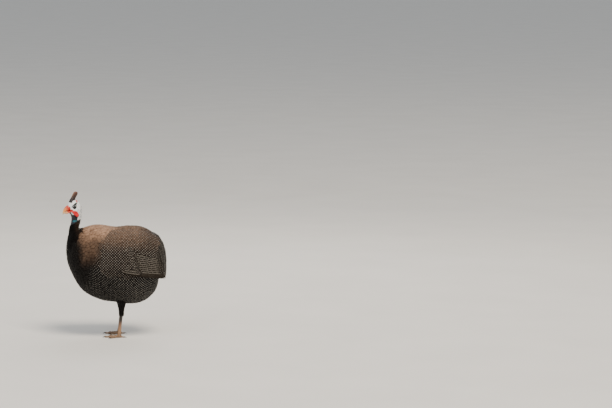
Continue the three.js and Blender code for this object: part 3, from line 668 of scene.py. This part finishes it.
def lay_feathers(
        surface, root, flow, length, width, heights, patch,
        steps=(0.01, 0.01), thick=0.35, cup=0.45, facing=1, lattice=None):
    """Thin closed vanes laid on a surface. From its root each one goes down its flow in equal steps of
    real length, and at each step it spreads to both sides at right angles. It is narrow at the root,
    widest two thirds down and round at the tip; its middle is cupped up, and its height over the surface
    goes from heights[0] to heights[1] as 1 - (1 - share)^1.8, so that tips lie flat. lattice gives the
    pearls' counts at a place on the surface. Returns points, faces and the three maps."""
    count = len(root)
    a, b = root[:, 0], root[:, 1]
    step_a, step_b = steps
    share = np.linspace(0, 1, RINGS)
    outline = vane_outline(share, 0.42, 0.45, 0.62, 0.385, 2.2, 0.004)
    climb = 1 - (1 - share) ** 1.8
    rings = []
    counts = []
    for ring in range(RINGS):
        along_a = (surface(a + step_a, b) - surface(a - step_a, b)) / (2 * step_a)
        along_b = (surface(a, b + step_b) - surface(a, b - step_b)) / (2 * step_b)
        down = flow[:, :1] * along_a + flow[:, 1:] * along_b
        speed = np.maximum(np.linalg.norm(down, axis=1), 1e-6)
        out = facing * unit(np.cross(along_a, along_b))
        side = np.cross(out, down / speed[:, None])
        # The step aside in a and b solves the two slopes' equations for the side's direction.
        pairs = (
            (along_a, along_a), (along_b, along_b), (along_a, along_b), (side, along_a), (side, along_b))
        aa, bb, ab, sa, sb = ((first * second).sum(1) for first, second in pairs)
        aside = outline[ring] * width / 2 / np.maximum(aa * bb - ab * ab, 1e-6)
        at_a = a[:, None] + ((sa * bb - sb * ab) * aside)[:, None] * TOP_ACROSS
        at_b = b[:, None] + ((sb * aa - sa * ab) * aside)[:, None] * TOP_ACROSS
        height = heights[:, 0] + (heights[:, 1] - heights[:, 0]) * climb[ring]
        bulge = cup * (1 - TOP_ACROSS ** 2) * outline[ring] + thick / 2 * TOP_FACE * (1 - 0.5 * share[ring])
        rings.append(surface(at_a, at_b) + out[:, None, :] * (height[:, None] + bulge)[..., None])
        counts.append(lattice(at_a, at_b) if lattice else np.zeros((count, SIDES, 2)))
        pace = length / (RINGS - 1) / speed
        a = a + flow[:, 0] * pace
        b = b + flow[:, 1] * pace
    points = np.stack(rings, axis=1).reshape(-1, 3)
    one = points[:RINGS * SIDES] - points[0]
    faces = many_tubes(count, RINGS, SIDES, inside_out(one, tube_faces(RINGS, SIDES)[:-2]))
    vane = np.broadcast_to(together((TOP_ACROSS + 1) / 2, share[:, None]), (count, RINGS, SIDES, 2))
    bake = patch[:, None, None, :] + (vane - 0.5) * PATCH
    maps = {"vane": vane, "pearls": np.stack(counts, axis=1), "OFBake": bake}
    return points, faces, {name: values.reshape(-1, 2) for name, values in maps.items()}


CELL = 14.0
NEIGHBOURS = [(i, j, k) for i in (-1, 0, 1) for j in (-1, 0, 1) for k in (-1, 0, 1)]


def scattered(rng, surface, low, high, spacing, tries, keep):
    """Roots spread over a surface's parameters about spacing(a, b) apart: many seeded candidates in turn,
    each kept unless a kept one is nearer than its spacing. Kept ones are looked up by cells of CELL
    millimetres."""
    candidates = rng.uniform(low, high, (tries, 2))
    points = surface(candidates[:, 0], candidates[:, 1])
    gaps = spacing(candidates, points)
    wanted = keep(candidates, points) & (gaps > 0)
    candidates, points, gaps = candidates[wanted], points[wanted], gaps[wanted]
    kept = {}
    chosen = []
    for index, (point, gap) in enumerate(zip(points.tolist(), gaps.tolist())):
        i, j, k = (int(part // CELL) for part in point)
        near = (
            other
            for di, dj, dk in NEIGHBOURS
            for other in kept.get((i + di, j + dj, k + dk), ())
            if math.dist(other, point) < gap)
        if next(near, None) is None:
            kept.setdefault((i, j, k), []).append(point)
            chosen.append(index)
    return candidates[chosen], points[chosen], gaps[chosen]


def body_marking(points, own):
    """What each feather carries, by its place: brown and finely flecked on the mantle, the brown partly
    painted light on the top of the back, dark and large-pearled on the flanks and belly, plain and dark on
    the breast and lower neck."""
    x, z = points[:, 0], points[:, 2]
    # Warm brown on the top of the back, most at the front and on the shoulder: partly the mantle's own
    # brown, partly painted sunlight on the top.
    ahead = (0.42 + 0.58 * smooth(10, -60, x)) * (1 - 0.75 * smooth(30, 115, x))
    warm = smooth(300, 376, z) ** 1.5 * ahead
    shoulder = smooth(-142, -116, x) * smooth(-50, -90, x) * smooth(245, 340, z)
    warm = np.maximum(warm, 0.3 * shoulder) * smooth(-140, -118, x)
    plain = smooth(-84, -122, x - 0.3 * (z - 240))
    big = smooth(-60, 80, x) * smooth(330, 240, z)
    fading = (1 - 0.35 * smooth(318, 352, z)) * (1 - smooth(350, 374, z))
    pearls = (0.145 + 0.04 * big) * (1 - plain) * fading
    flecks = 0.02 + 0.16 * smooth(290, 350, z) * (1 - plain)
    return together(np.clip(warm, 0, 1), pearls, flecks, own)


def spread(marks, each=RINGS * SIDES):
    """Each feather's marks for each of its points."""
    return {"marking": np.repeat(marks, each, axis=0)}


def on_bake(first, second):
    """A place in the bake map, from two shares, clear of its edge."""
    return together(0.03 + 0.94 * first, 0.03 + 0.94 * second)


def coat_piece(
        name, surface, roots, flow, length, width, heights, marks, patch, look, slot, replaces=(), **how):
    """Feathers of one name. length, width and heights are in millimetres and marks are their colours."""
    points, faces, maps = lay_feathers(surface, roots, flow, length, width, heights, patch, **how)
    new_piece(name, points, faces, look, slot, maps, spread(marks), replaces)


PEARL_UNIT = 9.0
PEARL_ROWS = 84
COAT_START = 6.4
COAT_TRIES = 94000


def body_rows():
    """How the body's pearls are counted down its length: each step adds its length over the lattice's
    unit there, which is the girth over PEARL_ROWS."""
    place = np.linspace(COAT_START - 0.1, VENT, 400)
    ring = body(place[:, None], np.linspace(0, 2 * np.pi, 97)[None, :])
    girth = np.linalg.norm(np.diff(ring, axis=1), axis=2).sum(axis=1)
    flanks = body(place[:, None], np.array([[0.5, 1.5]]) * np.pi)
    step = np.linalg.norm(np.diff(flanks, axis=0), axis=2).mean(axis=1)
    count = np.cumsum(step / np.maximum(girth[1:] / PEARL_ROWS, 2.5))
    return place, np.concatenate([[0], count])


def body_coat():
    """The small feathers of the neck root, breast, back, belly and rump. Their pearls stand in one
    staggered lattice over the whole body, PEARL_ROWS round it, so that they keep their rows from feather
    to feather."""
    rng = np.random.default_rng(SEEDS["body"])
    row_place, row_count = body_rows()

    def lattice(place, angle):
        return together(angle * PEARL_ROWS / (2 * np.pi), np.interp(place, row_place, row_count))

    def spacing(at, points):
        return 3.2 + 4.6 * smooth(7.2, 12.5, at[:, 0])

    def keep(at, points):
        area = np.linalg.norm(
            np.cross(body(at[:, 0] + 0.01, at[:, 1]) - body(at[:, 0] - 0.01, at[:, 1]),
                     body(at[:, 0], at[:, 1] + 0.01) - body(at[:, 0], at[:, 1] - 0.01)), axis=1)
        x, y, z = points.T
        under_wing = (x > -20) & (x < 84) & (z > 250) & (z < 318) & (np.abs(y) > 60)
        return (area > 0) & ~under_wing & (at[:, 0] < VENT - 0.3)

    roots, points, gaps = scattered(
        rng, body, (COAT_START, 0.0), (VENT, 2 * np.pi), spacing, COAT_TRIES, keep)
    place, angle = roots.T
    count = len(roots)
    own = rng.random(count)
    length = gaps * 3.1 * rng.uniform(0.92, 1.08, count)
    proud = rng.uniform(-0.25, 0.25, count)
    ruff = 2.2 * smooth(8.2, 6.9, place)
    heights = together(-coat_depth(place), -0.6 + proud + ruff)
    flow = together(1.0, rng.normal(0, 0.012, count))
    marks = body_marking(points, own)
    patch = on_bake(angle / (2 * np.pi), (place - COAT_START) / (VENT - COAT_START))
    neck = place < 9.8 + rng.normal(0, 0.12, count)
    left = points[:, 1] < 0
    for name, chosen, look, slot in (
            ("coat_neck", neck, RUFF, "neck_feathers"),
            ("coat_left", ~neck & left, PEARLED, "plumage"),
            ("coat_right", ~neck & ~left, PEARLED, "plumage")):
        vanes = (part[chosen] for part in (roots, flow, length, gaps * 2.35, heights, marks, patch))
        coat_piece(name, body, *vanes, look, slot, lattice=lattice)


# Wings and tail

def wing_row(x):
    """The rows of WING_BED, smoothly joined, at places along the bird."""
    return through(WING_BED, np.interp(x, WING_BED[:, 0], np.arange(len(WING_BED))))


def wing_bed(side):
    """The folded wing's surface: its distance from the middle of the bird is a smooth curve along x,
    times the upright arch (1 - share^2.3)^(1 / 2.3) of the way up to its top or down to its foot."""
    def surface(x, z):
        x, z = np.broadcast_arrays(x, z)
        bed = wing_row(x)
        share = np.abs(z - WING_MIDDLE_Z) / np.where(z > WING_MIDDLE_Z, bed[..., 2], WING_DROP)
        arch = (1 - np.clip(share, 0, 0.985) ** 2.3) ** (1 / 2.3)
        return together(x, side * bed[..., 1] * arch, z)
    return surface


def wing_top(side):
    """The same surface, whose second number above the wing's middle is drawn down in step with the arch,
    so that it follows the arch's top to the rear."""
    bed = wing_bed(side)

    def surface(x, z):
        top = wing_row(x)[..., 2] / WING_BED[:, 2].max()
        return bed(x, z - np.maximum(z - WING_MIDDLE_Z, 0) * (1 - top))
    return surface


BLADE_ROWS = 18
BLADE_TOP = 9
BLADE_THICK = 0.7


def blades(surface, side, shapes, rng):
    """Flight feathers. Each shape is root (x, z), tip (x, z), width, droop, heights at root and tip, and
    how proud its lower edge is. A blade's middle line runs from root to tip and sinks by droop times the
    share squared; its width is the blade's outline, and its face is slightly cupped with a raised
    shaft."""
    table = np.array(shapes, float)
    count = len(table)
    columns = BLADE_TOP * 2 - 2
    share = shares(BLADE_ROWS)[None]
    there = np.linspace(-1, 1, BLADE_TOP)
    across = np.concatenate([there, there[-2:0:-1]])
    face = np.concatenate([[0], np.ones(BLADE_TOP - 2), [0], -np.ones(BLADE_TOP - 2)])
    root, tip = table[:, None, None, 0:2], table[:, None, None, 2:4]
    width, droop, low, high, proud = (table[:, k, None, None] for k in range(4, 9))
    line = tip - root
    size = np.linalg.norm(line, axis=-1)
    sag = droop * share ** 2 + across * width / 2 * vane_outline(share, 0.55, 0.35, 0.78, 0.221, 2.4, 0.003)
    x = root[..., 0] + line[..., 0] * share + line[..., 1] / size * sag
    z = root[..., 1] + line[..., 1] * share - line[..., 0] / size * sag
    frayed = rng.normal(0, 0.05, (count, BLADE_ROWS, 1)) * np.abs(across)
    cupped = 0.35 * (1 - across ** 2) + rim(across, 0, 0.09, 0.35)
    height = low + (high - low) * share + proud * across + cupped + frayed
    points = surface(x, z) + np.array([0, side, 0.0]) * (height + BLADE_THICK / 2 * face)[..., None]
    faces = many_tubes(count, BLADE_ROWS, columns, side < 0)
    vane = np.broadcast_to(together((across + 1) / 2, shares(BLADE_ROWS)), (count, BLADE_ROWS, columns, 2))
    spot = together(0.02 + 0.96 * np.arange(count) / count, 0.02)[:, None, None, :]
    bake = spot + vane * np.array([0.9 / count, 0.94])
    maps = {"vane": vane.reshape(-1, 2), "OFBake": bake.reshape(-1, 2)}
    return points.reshape(-1, 3), faces, maps


PRIMARIES = 8
SECONDARIES = 14
GREATER_COVERTS = 10
# The corners, x and z, of the field that the smaller coverts' roots are scattered over.
COVERTS = ((-80, 208), (125, 371))
COVERT_TRIES = 20000


def wing(word, side):
    """A folded wing: primaries and secondaries, with the greater and middle coverts over their roots."""
    rng = np.random.default_rng(SEEDS["wing"] + side)
    shapes = []
    marks = []
    for i in range(PRIMARIES):
        tip = (170 - 2.4 * i + rng.normal(0, 0.8), 212 + 4.2 * i)
        shapes.append((28 + 2.2 * i, 231 + 2.4 * i, *tip, 15, 1.5, -1.6 + 0.12 * i, -0.4 + 0.2 * i, 0.5))
        marks.append((0.5, 0.0, 0.04, rng.random()))
    for i in range(SECONDARIES):
        tip = (166 - 0.2 * i ** 1.75 + rng.normal(0, 0.9), 238 + 7.6 * i)
        shapes.append((34 - 1.1 * i, 245 + 7.2 * i, *tip, 21, 8 + 1.8 * i, 0, 1.4 + 0.1 * i, 0.9))
        marks.append((0.2, 0.15, 0.03, rng.random()))
    for i in range(GREATER_COVERTS):
        tip = (86 - 2.8 * i + rng.normal(0, 5), 236 + 9.2 * i)
        shapes.append((16 - 1.9 * i, 243 + 8.6 * i, *tip, 20, 4, 0.2, 2.9, 0.9))
        marks.append((0.2, 0.16, 0.03, rng.random()))
    points, faces, maps = blades(wing_bed(side), side, shapes, rng)
    marking = spread(np.array(marks), len(points) // len(marks))
    new_piece(
        f"wing_quills_{word}", points, faces, BLADES, "flight_feathers", maps, marking, (f"wing_{word}",))

    def spacing(at, points):
        return 7.4 + 2.0 * smooth(-40, 60, at[:, 0])

    def keep(at, points):
        x, z = at.T
        front = ((x + 4) / 76) ** 2 + ((z - 288) / 80) ** 2 < 1
        front &= x < 42 + 1.35 * np.maximum(z - 300, 0)
        shoulder = (x > -40) & (x < 132 - 0.55 * np.maximum(338 - z, 0))
        return front | shoulder & (z > 316 - 26 * smooth(30, 100, x))

    def lattice(x, z):
        return together(z, x) / PEARL_UNIT

    bed = wing_top(side)
    (first, low), (last, high) = COVERTS
    roots, at, gaps = scattered(rng, bed, *COVERTS, spacing, COVERT_TRIES, keep)
    x, z = roots.T
    # The shoulder and the lower edge sink level with the flank's feathers, and the top with the back's.
    level = -1.5 - 5.0 * smooth(-70, -10, x)
    sunk = smooth(-80, -34, x) * smooth(214, 252, z)
    rise = (level + (3.2 - level) * sunk) * smooth(371, 346, z)
    up = smooth(292, 368, z)
    warm = 0.03 + 0.27 * up * (1 - 0.6 * smooth(30, 110, x))
    coverts = together(warm, 0.18 - 0.05 * up, 0.02 + 0.09 * up, rng.random(len(roots)))
    flow = together(1.0, -0.06 - 0.1 * smooth(300, 360, z))
    patch = on_bake((x - first) / (last - first), (z - low) / (high - low))
    coat_piece(
        f"wing_coverts_{word}", bed, roots, flow, gaps * 3.2, gaps * 2.3, together(rise - 5.0, rise),
        coverts, patch, PEARLED, "plumage", steps=(0.2, 0.2), facing=-side, lattice=lattice,
    )


def tail_bed(along, aside):
    """The tail's surface: its middle line bends from the rump down behind the body, and to each side it
    spreads and sinks by (7 + 9 share) |aside|^1.7, like a tent."""
    along, aside = np.broadcast_arrays(along, aside)
    last = len(TAIL_LINE) - 1
    at = through(TAIL_LINE, np.clip(along, -0.1, 1.02) * last)
    middle = np.clip(along, -0.09, 1.01) * last
    line = unit(through(TAIL_LINE, middle + 0.06) - through(TAIL_LINE, middle - 0.06))
    off = -(7 + 9 * along) * np.abs(aside) ** 1.7
    half = TAIL_HALF_ROOT + (TAIL_HALF_TIP - TAIL_HALF_ROOT) * smooth(0, 0.9, along)
    return together(at[..., 0] - line[..., 1] * off, aside * half, at[..., 1] + line[..., 0] * off)


# Each row of tail coverts: its place along the tail, its feathers' length, their number and how far aside
# they go.
TAIL_COVERTS = [
    (0.5, 70, 9, 1.0), (0.36, 70, 11, 1.08), (0.24, 64, 12, 1.25),
    (0.13, 58, 12, 1.42), (0.04, 50, 11, 1.5), (-0.02, 40, 10, 1.5),
]
TAIL_LENGTH = 205
TAIL_PAIRS = 7


def tail():
    """Pairs of tail feathers in a closed fan and the coverts over their roots. Each vane is its root
    along and aside, length, width, heights at root and tip, and a number of its own."""
    rng = np.random.default_rng(SEEDS["tail"])
    vanes = []
    for i in reversed(range(TAIL_PAIRS)):
        for side in (LEFT, RIGHT):
            share = (i + 0.45) / TAIL_PAIRS
            length = (0.98 - 0.07 * share ** 2 - 0.3) * TAIL_LENGTH + rng.normal(0, 1)
            vanes.append((0.3, side * share, length, 19, -2.0 - share, 0.6 - 1.6 * share, rng.random()))
    for row, (begin, size, count, widest) in enumerate(TAIL_COVERTS):
        for place in np.linspace(-widest, widest, count):
            sink = 1.5 * max(abs(place) - 0.9, 0)
            aside = place + rng.normal(0, 0.02)
            length = size + rng.normal(0, 2)
            tip = 0.3 + 0.55 * row + rng.uniform(0, 0.5) - sink
            vanes.append((begin, aside, length, 20, -2.5, tip, rng.random()))
    table = np.array(vanes)
    count = len(table)
    flow = together(np.ones(count), 0)
    marks = together(0.2, 0.17, 0.03, table[:, 6])
    patch = on_bake(np.arange(count) / count, 0.5)
    coat_piece(
        "tail_feathers", tail_bed, table[:, :2], flow, table[:, 2], table[:, 3], table[:, 4:6], marks,
        patch, BLADES, "flight_feathers", ("tail",), steps=(0.005, 0.02), thick=0.6, cup=0.6,
    )


# Head pieces, made looking straight ahead and then turned

def eye(word, side):
    """A ball whose own axis points out to the side, so that its map counts from the pupil: radius times
    sine and cosine of the angle from that axis."""
    down = np.linspace(0.02, np.pi - 0.02, 40)[:, None]
    ball = together(
        EYE[0] + EYE_RADIUS * np.sin(down) * np.cos(turns(32)),
        side * (EYE_OUT - EYE_SUNK + EYE_RADIUS * np.cos(down)),
        EYE[1] + EYE_RADIUS * np.sin(down) * np.sin(turns(32)),
    )
    tube_piece(f"eyeball_{word}", turned(ball, HEAD_TURN), EYE_LOOK, "eye", (f"eye_{word}",))


def casque():
    """The bony helmet: a loft swept back, with low ridges down it."""
    rows = 64
    horn = side_loft([
        (-133, 455, -163, 453, 8.5),
        (-137, 467, -158.5, 465, 6.4),
        (-133, 477, -151.5, 476, 4.9),
        (-127.5, 486, -146, 486.5, 4.4),
        (-128.5, 492.3, -141.5, 493, 3.2),
        (-135, 495.5, -135, 495.5, 0.05),
    ], rows, 48)
    x, y, z = horn[..., 0], horn[..., 1], horn[..., 2]
    wave = 0.35 * np.sin(x * 1.1 + 0.25 * z) * np.sin(np.pi * shares(rows))
    horn[..., 1] += np.sign(y) * wave * smooth(0.5, 2.5, np.abs(y))
    tube_piece("casque_horn", turned(horn, HEAD_TURN), CASQUE, "casque", ("casque",))


def bill():
    """Two horn halves that meet along the mouth. The upper one is hooked over the lower, with a nostril
    sunk in each side as a pit of depth 2.6 exp(-(distance)^4)."""
    upper = side_loft([
        (-158, 450, -153, 432, 8.6),
        (-166, 448.6, -160.2, 430.8, 8.3),
        (-172.5, 445, -166.8, 429, 7),
        (-179.5, 437.5, -172.8, 427.8, 5.2),
        (-183.6, 428, -178, 425.4, 3.1),
        (-184.6, 419.5, -182.4, 419.9, 1),
        (-184.2, 417.8, -184.2, 417.8, 0.05),
    ], 72, 48)
    pit = ((upper[..., 0] + 171) / 2.9) ** 2 + ((upper[..., 2] - 439.5) / 1.5) ** 2
    upper[..., 1] -= np.sign(upper[..., 1]) * 2.6 * np.exp(-pit ** 2) * smooth(1, 3, np.abs(upper[..., 1]))
    lower = side_loft([
        (-152.5, 431.2, -152, 426, 7.8),
        (-159.8, 430.2, -157.8, 424, 7.6),
        (-166.4, 428.3, -164.6, 421.2, 6.2),
        (-172.6, 427, -171.2, 420.6, 4.4),
        (-177.2, 424.9, -177, 421.4, 2.4),
        (-179.4, 422.4, -179.4, 422.4, 0.05),
    ], 48, 40)
    tube_piece("bill_upper_horn", turned(upper, HEAD_TURN), BILL, "bill", ("bill_upper",))
    tube_piece("bill_lower_horn", turned(lower, HEAD_TURN), BILL, "bill", ("bill_lower",))


def wattle(word, side):
    """A puffed, folded lobe: a grid along and across it, with two faces that part by the swell sqrt(1 -
    across^2) times the arch of its length."""
    along = shares(56)
    across, up = np.cos(turns(48)), np.sin(turns(48))
    swell = np.abs(up) * np.sin(np.pi * (0.08 + 0.84 * along)) ** 0.5
    reach = 1.6 + 8.6 * np.sin(np.pi * np.clip(along, 0.004, 0.996) ** 1.9) ** 0.6
    drop = -across * reach - 2.2 * np.sin(np.pi * along)
    fold = (0.55 * np.sin(8 * along + 3 * across) + 0.3 * np.sin(23 * along - 5 * across)) * swell
    out = 12.4 + 3.2 * smooth(0, 0.5, along) + 1.8 * smooth(-0.4, 1, across)
    grid = together(
        -160.5 + 29 * along - 0.2 * drop,
        side * (out + fold + np.sign(up) * (0.35 + 2.3 * swell)),
        430.5 - 13 * along + drop,
    )
    tube_piece(f"wattle_lobe_{word}", turned(grid, HEAD_TURN), RED, "red_skin", (f"wattle_{word}",))


HAIRS = 900
HAIR_FROM = 4.2
HAIR_TO = 7.6
HAIR_RADIUS = 0.16


def filoplumes():
    """Hair-like feathers on the bare neck: thin three-sided spikes that stand off the skin and lean back
    and up."""
    rng = np.random.default_rng(SEEDS["hairs"])
    rows, columns = 4, 3
    place = rng.uniform(HAIR_FROM, HAIR_TO, HAIRS)
    angle = rng.normal(0, 0.9, HAIRS)
    root = body(place, angle)[:, None]
    out = normals(body, place, angle)[:, None]
    lean = (np.array([0.55, 0.0, 0.35]) + rng.normal(0, 0.25, (HAIRS, 3)))[:, None]
    size = rng.uniform(3.5, 7.5, HAIRS)[:, None, None]
    share = shares(rows)
    path = root + size * share * (out * (0.75 - 0.45 * share) + lean * share)
    round_it = together(np.cos(turns(columns)[0]), np.sin(turns(columns)[0]), 0)
    points = path[:, :, None, :] + (HAIR_RADIUS * (1 - 0.85 * share))[..., None] * round_it
    vane = np.tile(tube_map(rows, columns), (HAIRS, 1))
    marks = together(0.1, 0, 0, rng.random(HAIRS))
    patch = together(0.5 + angle / 7, 0.1 + 0.8 * (place - HAIR_FROM) / (HAIR_TO - HAIR_FROM))
    bake = np.repeat(np.clip(patch, 0.02, 0.98), rows * columns, axis=0) + (vane - 0.5) * 0.003
    new_piece(
        "neck_hairs", points.reshape(-1, 3), many_tubes(HAIRS, rows, columns), RUFF, "neck_feathers",
        {"vane": vane, "OFBake": bake}, spread(marks, rows * columns),
    )


# Legs

THIGH = [
    (54, 176, -14, 176, 27),
    (45, 142, -3, 142, 20),
    (35, 116, 6, 115, 13),
    (30, 96, 10.5, 95, 8.6),
    (LEG_X + 7.6, HOCK_Z + 6, LEG_X - 6.6, HOCK_Z + 6, 6.4),
]
THIGH_TRIES = 5000


def thigh_bed(side):
    """The thigh's surface: the loft of its solid, from place 0 in the body, which widens at the hock,
    place 4, and goes on over the top of the shank to 5."""
    table = np.array(THIGH[:4] + [
        (LEG_X + 8.6, HOCK_Z + 6, LEG_X - 8.4, HOCK_Z + 6, 6.9),
        (LEG_X + 8.2, HOCK_Z - 5, LEG_X - 8.0, HOCK_Z - 5, 6.5),
    ], float)

    def surface(place, angle):
        place, angle = np.broadcast_arrays(place, angle)
        return ovals(through(table, np.clip(place, 0, 5)), angle, middle=side * LEG_Y)
    return surface


def thigh(word, side):
    """The thigh's skin, 2 mm inside its solid, and small feathers whose ends overhang the shank
    raggedly."""
    surface = thigh_bed(side)
    core = side_loft(np.array(THIGH) + (-2, 0, 2, 0, -2), 30, 32, side * LEG_Y)
    tube_piece(f"thigh_skin_{word}", core, LEG, "leg_skin", (f"thigh_{word}",))
    rng = np.random.default_rng(SEEDS["thigh"] + side)

    def spacing(at, points):
        return 5.8 - 2.2 * smooth(1.5, 4, at[:, 0])

    def keep(at, points):
        return points[:, 2] > HOCK_Z + 4

    roots, points, gaps = scattered(rng, surface, (0.7, 0.0), (4.0, 2 * np.pi), spacing, THIGH_TRIES, keep)
    count = len(roots)
    flow = together(1.0, rng.normal(0, 0.03, count))
    length = np.minimum(gaps * 3.2, points[:, 2] - HOCK_Z + 4) * rng.uniform(0.7, 1.0, count)
    marks = together(0, 0, 0, 0.3 * rng.random(count))
    patch = on_bake(roots[:, 1] / (2 * np.pi), roots[:, 0] / 4.2)
    heights = together(-2.0, np.full(count, 0.2))
    coat_piece(
        f"thigh_coat_{word}", surface, roots, flow, length, gaps * 2.0, heights, marks, patch, PEARLED,
        "plumage",
    )


SHANK_PLATES = 17
SHANK_DEEP = 5.0
SHANK_WIDE = 3.9


def shank(word, side):
    """The bare shank: a column that swells to both joints, with overlapping plates down its front and
    back raised as a saw-tooth in height, and fine scales on its sides."""
    share = shares(150)
    angle = turns(40)
    ahead = np.abs(np.cos(angle))
    top = HOCK_Z + 5.7
    joint = rim(share, 0, 0.14, 2.4) + rim(share, 1, 0.1, 1.3)
    plate = 0.5 * np.mod(share * SHANK_PLATES, 1) ** 2 * smooth(0.4, 0.7, ahead)
    fine = 0.18 * np.sin(share * 190) * np.sin(angle * 9) * smooth(0.7, 0.4, ahead)
    grid = together(
        LEG_X + (FOOT_X - LEG_X) * share + (SHANK_DEEP + joint + plate + fine) * np.cos(angle),
        side * LEG_Y + (SHANK_WIDE + joint * 0.8 + fine) * np.sin(angle),
        top + (ANKLE_Z - 1.5 - top) * share,
    )
    tube_piece(f"shank_skin_{word}", grid, LEG, "leg_skin", (f"shank_{word}",))


# Each toe: its name, heading in degrees, length, radius and number of pads.
TOES = [
    ("inner", -36, 36, 3.7, 2),
    ("middle", 2, 47, 4.0, 3),
    ("outer", 38, 38, 3.6, 4),
    ("hind", 168, 17, 2.9, 1),
]
TOE_ROOT = 1.0
CLAW_LENGTH = 9.0


def on_toe(side, heading, along, across, up):
    """A place in a toe's own frame: along it from the middle of the foot, across it, and up."""
    turn = math.radians(heading * side)
    forward, sideways = -math.cos(turn), math.sin(turn)
    return together(
        FOOT_X + forward * along + sideways * across,
        side * LEG_Y + sideways * along - forward * across,
        up,
    )


def foot(word, side):
    """The ball of the foot, four padded toes with a saw-tooth of plates on top, and claws that curve
    down."""
    grids = []
    claws = []
    for name, heading, length, radius, pads in TOES:
        share = shares(60)
        angle = turns(24, 0.5)
        plates = 0.4 * np.mod(share * length / 2.6, 1) ** 2 * smooth(0.2, 0.8, np.sin(angle))
        end = np.sqrt(np.clip(1 - np.clip((share - 0.93) / 0.0705, 0, 1) ** 2 * 0.7, 0.1, 1))
        size = (radius - 1.1 * share + 0.45 * np.cos(2 * np.pi * share * pads)) * end
        raised = (5.5 if name == "hind" else 3.5) * (1 - share) ** 2
        up = np.maximum(raised + size * (0.82 + np.sin(angle)) + plates, 0.02)
        grids.append(on_toe(side, heading, TOE_ROOT + length * share, size * np.cos(angle), up))
        share = shares(16)
        angle = turns(14)
        base = (radius - 0.65) * 0.62
        size = base * (1.001 - share) ** 0.8
        middle = 0.4 + base + (base + 0.2) * (1 - share ** 2.2) * 0.55 - base * share ** 2.2
        up = np.maximum(middle + size * 1.15 * np.sin(angle), 0.3)
        along = TOE_ROOT + length - 0.8 + (CLAW_LENGTH + 1) * share
        claws.append(on_toe(side, heading, along, size * np.cos(angle) * 0.8, up))
    grids.append(side_loft([
        (FOOT_X + 8.3, 0.05, FOOT_X - 8.3, 0.05, 7.4),
        (FOOT_X + 9, 3, FOOT_X - 9.5, 3, 8.2),
        (FOOT_X + 7.2, 8.5, FOOT_X - 7, 8.5, 6.4),
        (FOOT_X + 6.2, ANKLE_Z + 1, FOOT_X - 6, ANKLE_Z + 1, 4.9),
    ], 24, 32, side * LEG_Y))
    joined_tubes(f"foot_skin_{word}", grids, TOE, "leg_skin", (f"foot_{word}",))
    joined_tubes(f"claws_{word}", claws, CLAW, "claw", tuple(f"claw_{toe[0]}_{word}" for toe in TOES))


# The bird

make_skin()
body_coat()
tail()
casque()
bill()
filoplumes()
for word, side in (("left", LEFT), ("right", RIGHT)):
    wing(word, side)
    eye(word, side)
    wattle(word, side)
    thigh(word, side)
    shank(word, side)
    foot(word, side)


# Floor, lights and camera

FLOOR_HALF = 200.0
floor_mesh = bpy.data.meshes.new("floor")
floor_corners = [(x * FLOOR_HALF, y * FLOOR_HALF, 0) for x, y in ((-1, -1), (1, -1), (1, 1), (-1, 1))]
floor_mesh.from_pydata(floor_corners, [], [(0, 1, 2, 3)])
floor_mesh.materials.append(FLOOR)
floor = stand("floor", floor_mesh)


def area_light(name, place, aim, size, energy, code):
    """A soft square light at a place, turned to a point."""
    lamp = bpy.data.lights.new(name, "AREA")
    lamp.size = size
    lamp.energy = energy
    lamp.color = srgb(code)[:3]
    holder = stand(name, lamp)
    step = np.array(aim) - np.array(place)
    flat = math.hypot(step[0], step[1])
    holder.location = place
    holder.rotation_euler = (math.atan2(flat, -step[2]), 0, math.atan2(-step[0], step[1]))


# Each light: its name, place, aim and size in metres, its watts and its colour.
LIGHTS = [
    ("key", (3.0, -6.0, 11.0), (0, 0, 0.25), 5.0, 1900, "#fff2e0"),
    ("fill", (-3.2, -4.4, 5.0), (0, 0, 0.25), 1.6, 70, "#eef3ff"),
    ("back", (0.6, 2.2, 2.4), (0, 0, 0.3), 1.4, 30, "#fff8ee"),
]
for light in LIGHTS:
    area_light(*light)

world = bpy.data.worlds.new("studio")
world.use_nodes = True
sky = {"Color": srgb("#e9edf2"), "Strength": 0.6}
fill(world.node_tree, world.node_tree.nodes["Background"], sky)
bpy.context.scene.world = world

# A long lens looks straight along +Y and a little down. Its sensor is shifted, so that the bird stands
# left of the middle of the picture and its upright lines stay upright.
SENSOR = 36.0
LENS = 135.0
CAMERA_BACK = 7.736
CAMERA_HEIGHT = 1.32
SHIFT_RIGHT = 0.3113
LOOK_DOWN = math.radians(6.402)
camera_data = bpy.data.cameras.new("camera")
camera_data.sensor_width = SENSOR
camera_data.lens = LENS
camera_data.shift_x = SHIFT_RIGHT
camera_data.clip_end = 200.0
camera = stand("camera", camera_data)
camera.location = (0, -CAMERA_BACK, CAMERA_HEIGHT)
camera.rotation_euler = (math.pi / 2 - LOOK_DOWN, 0, 0)
bpy.context.scene.camera = camera
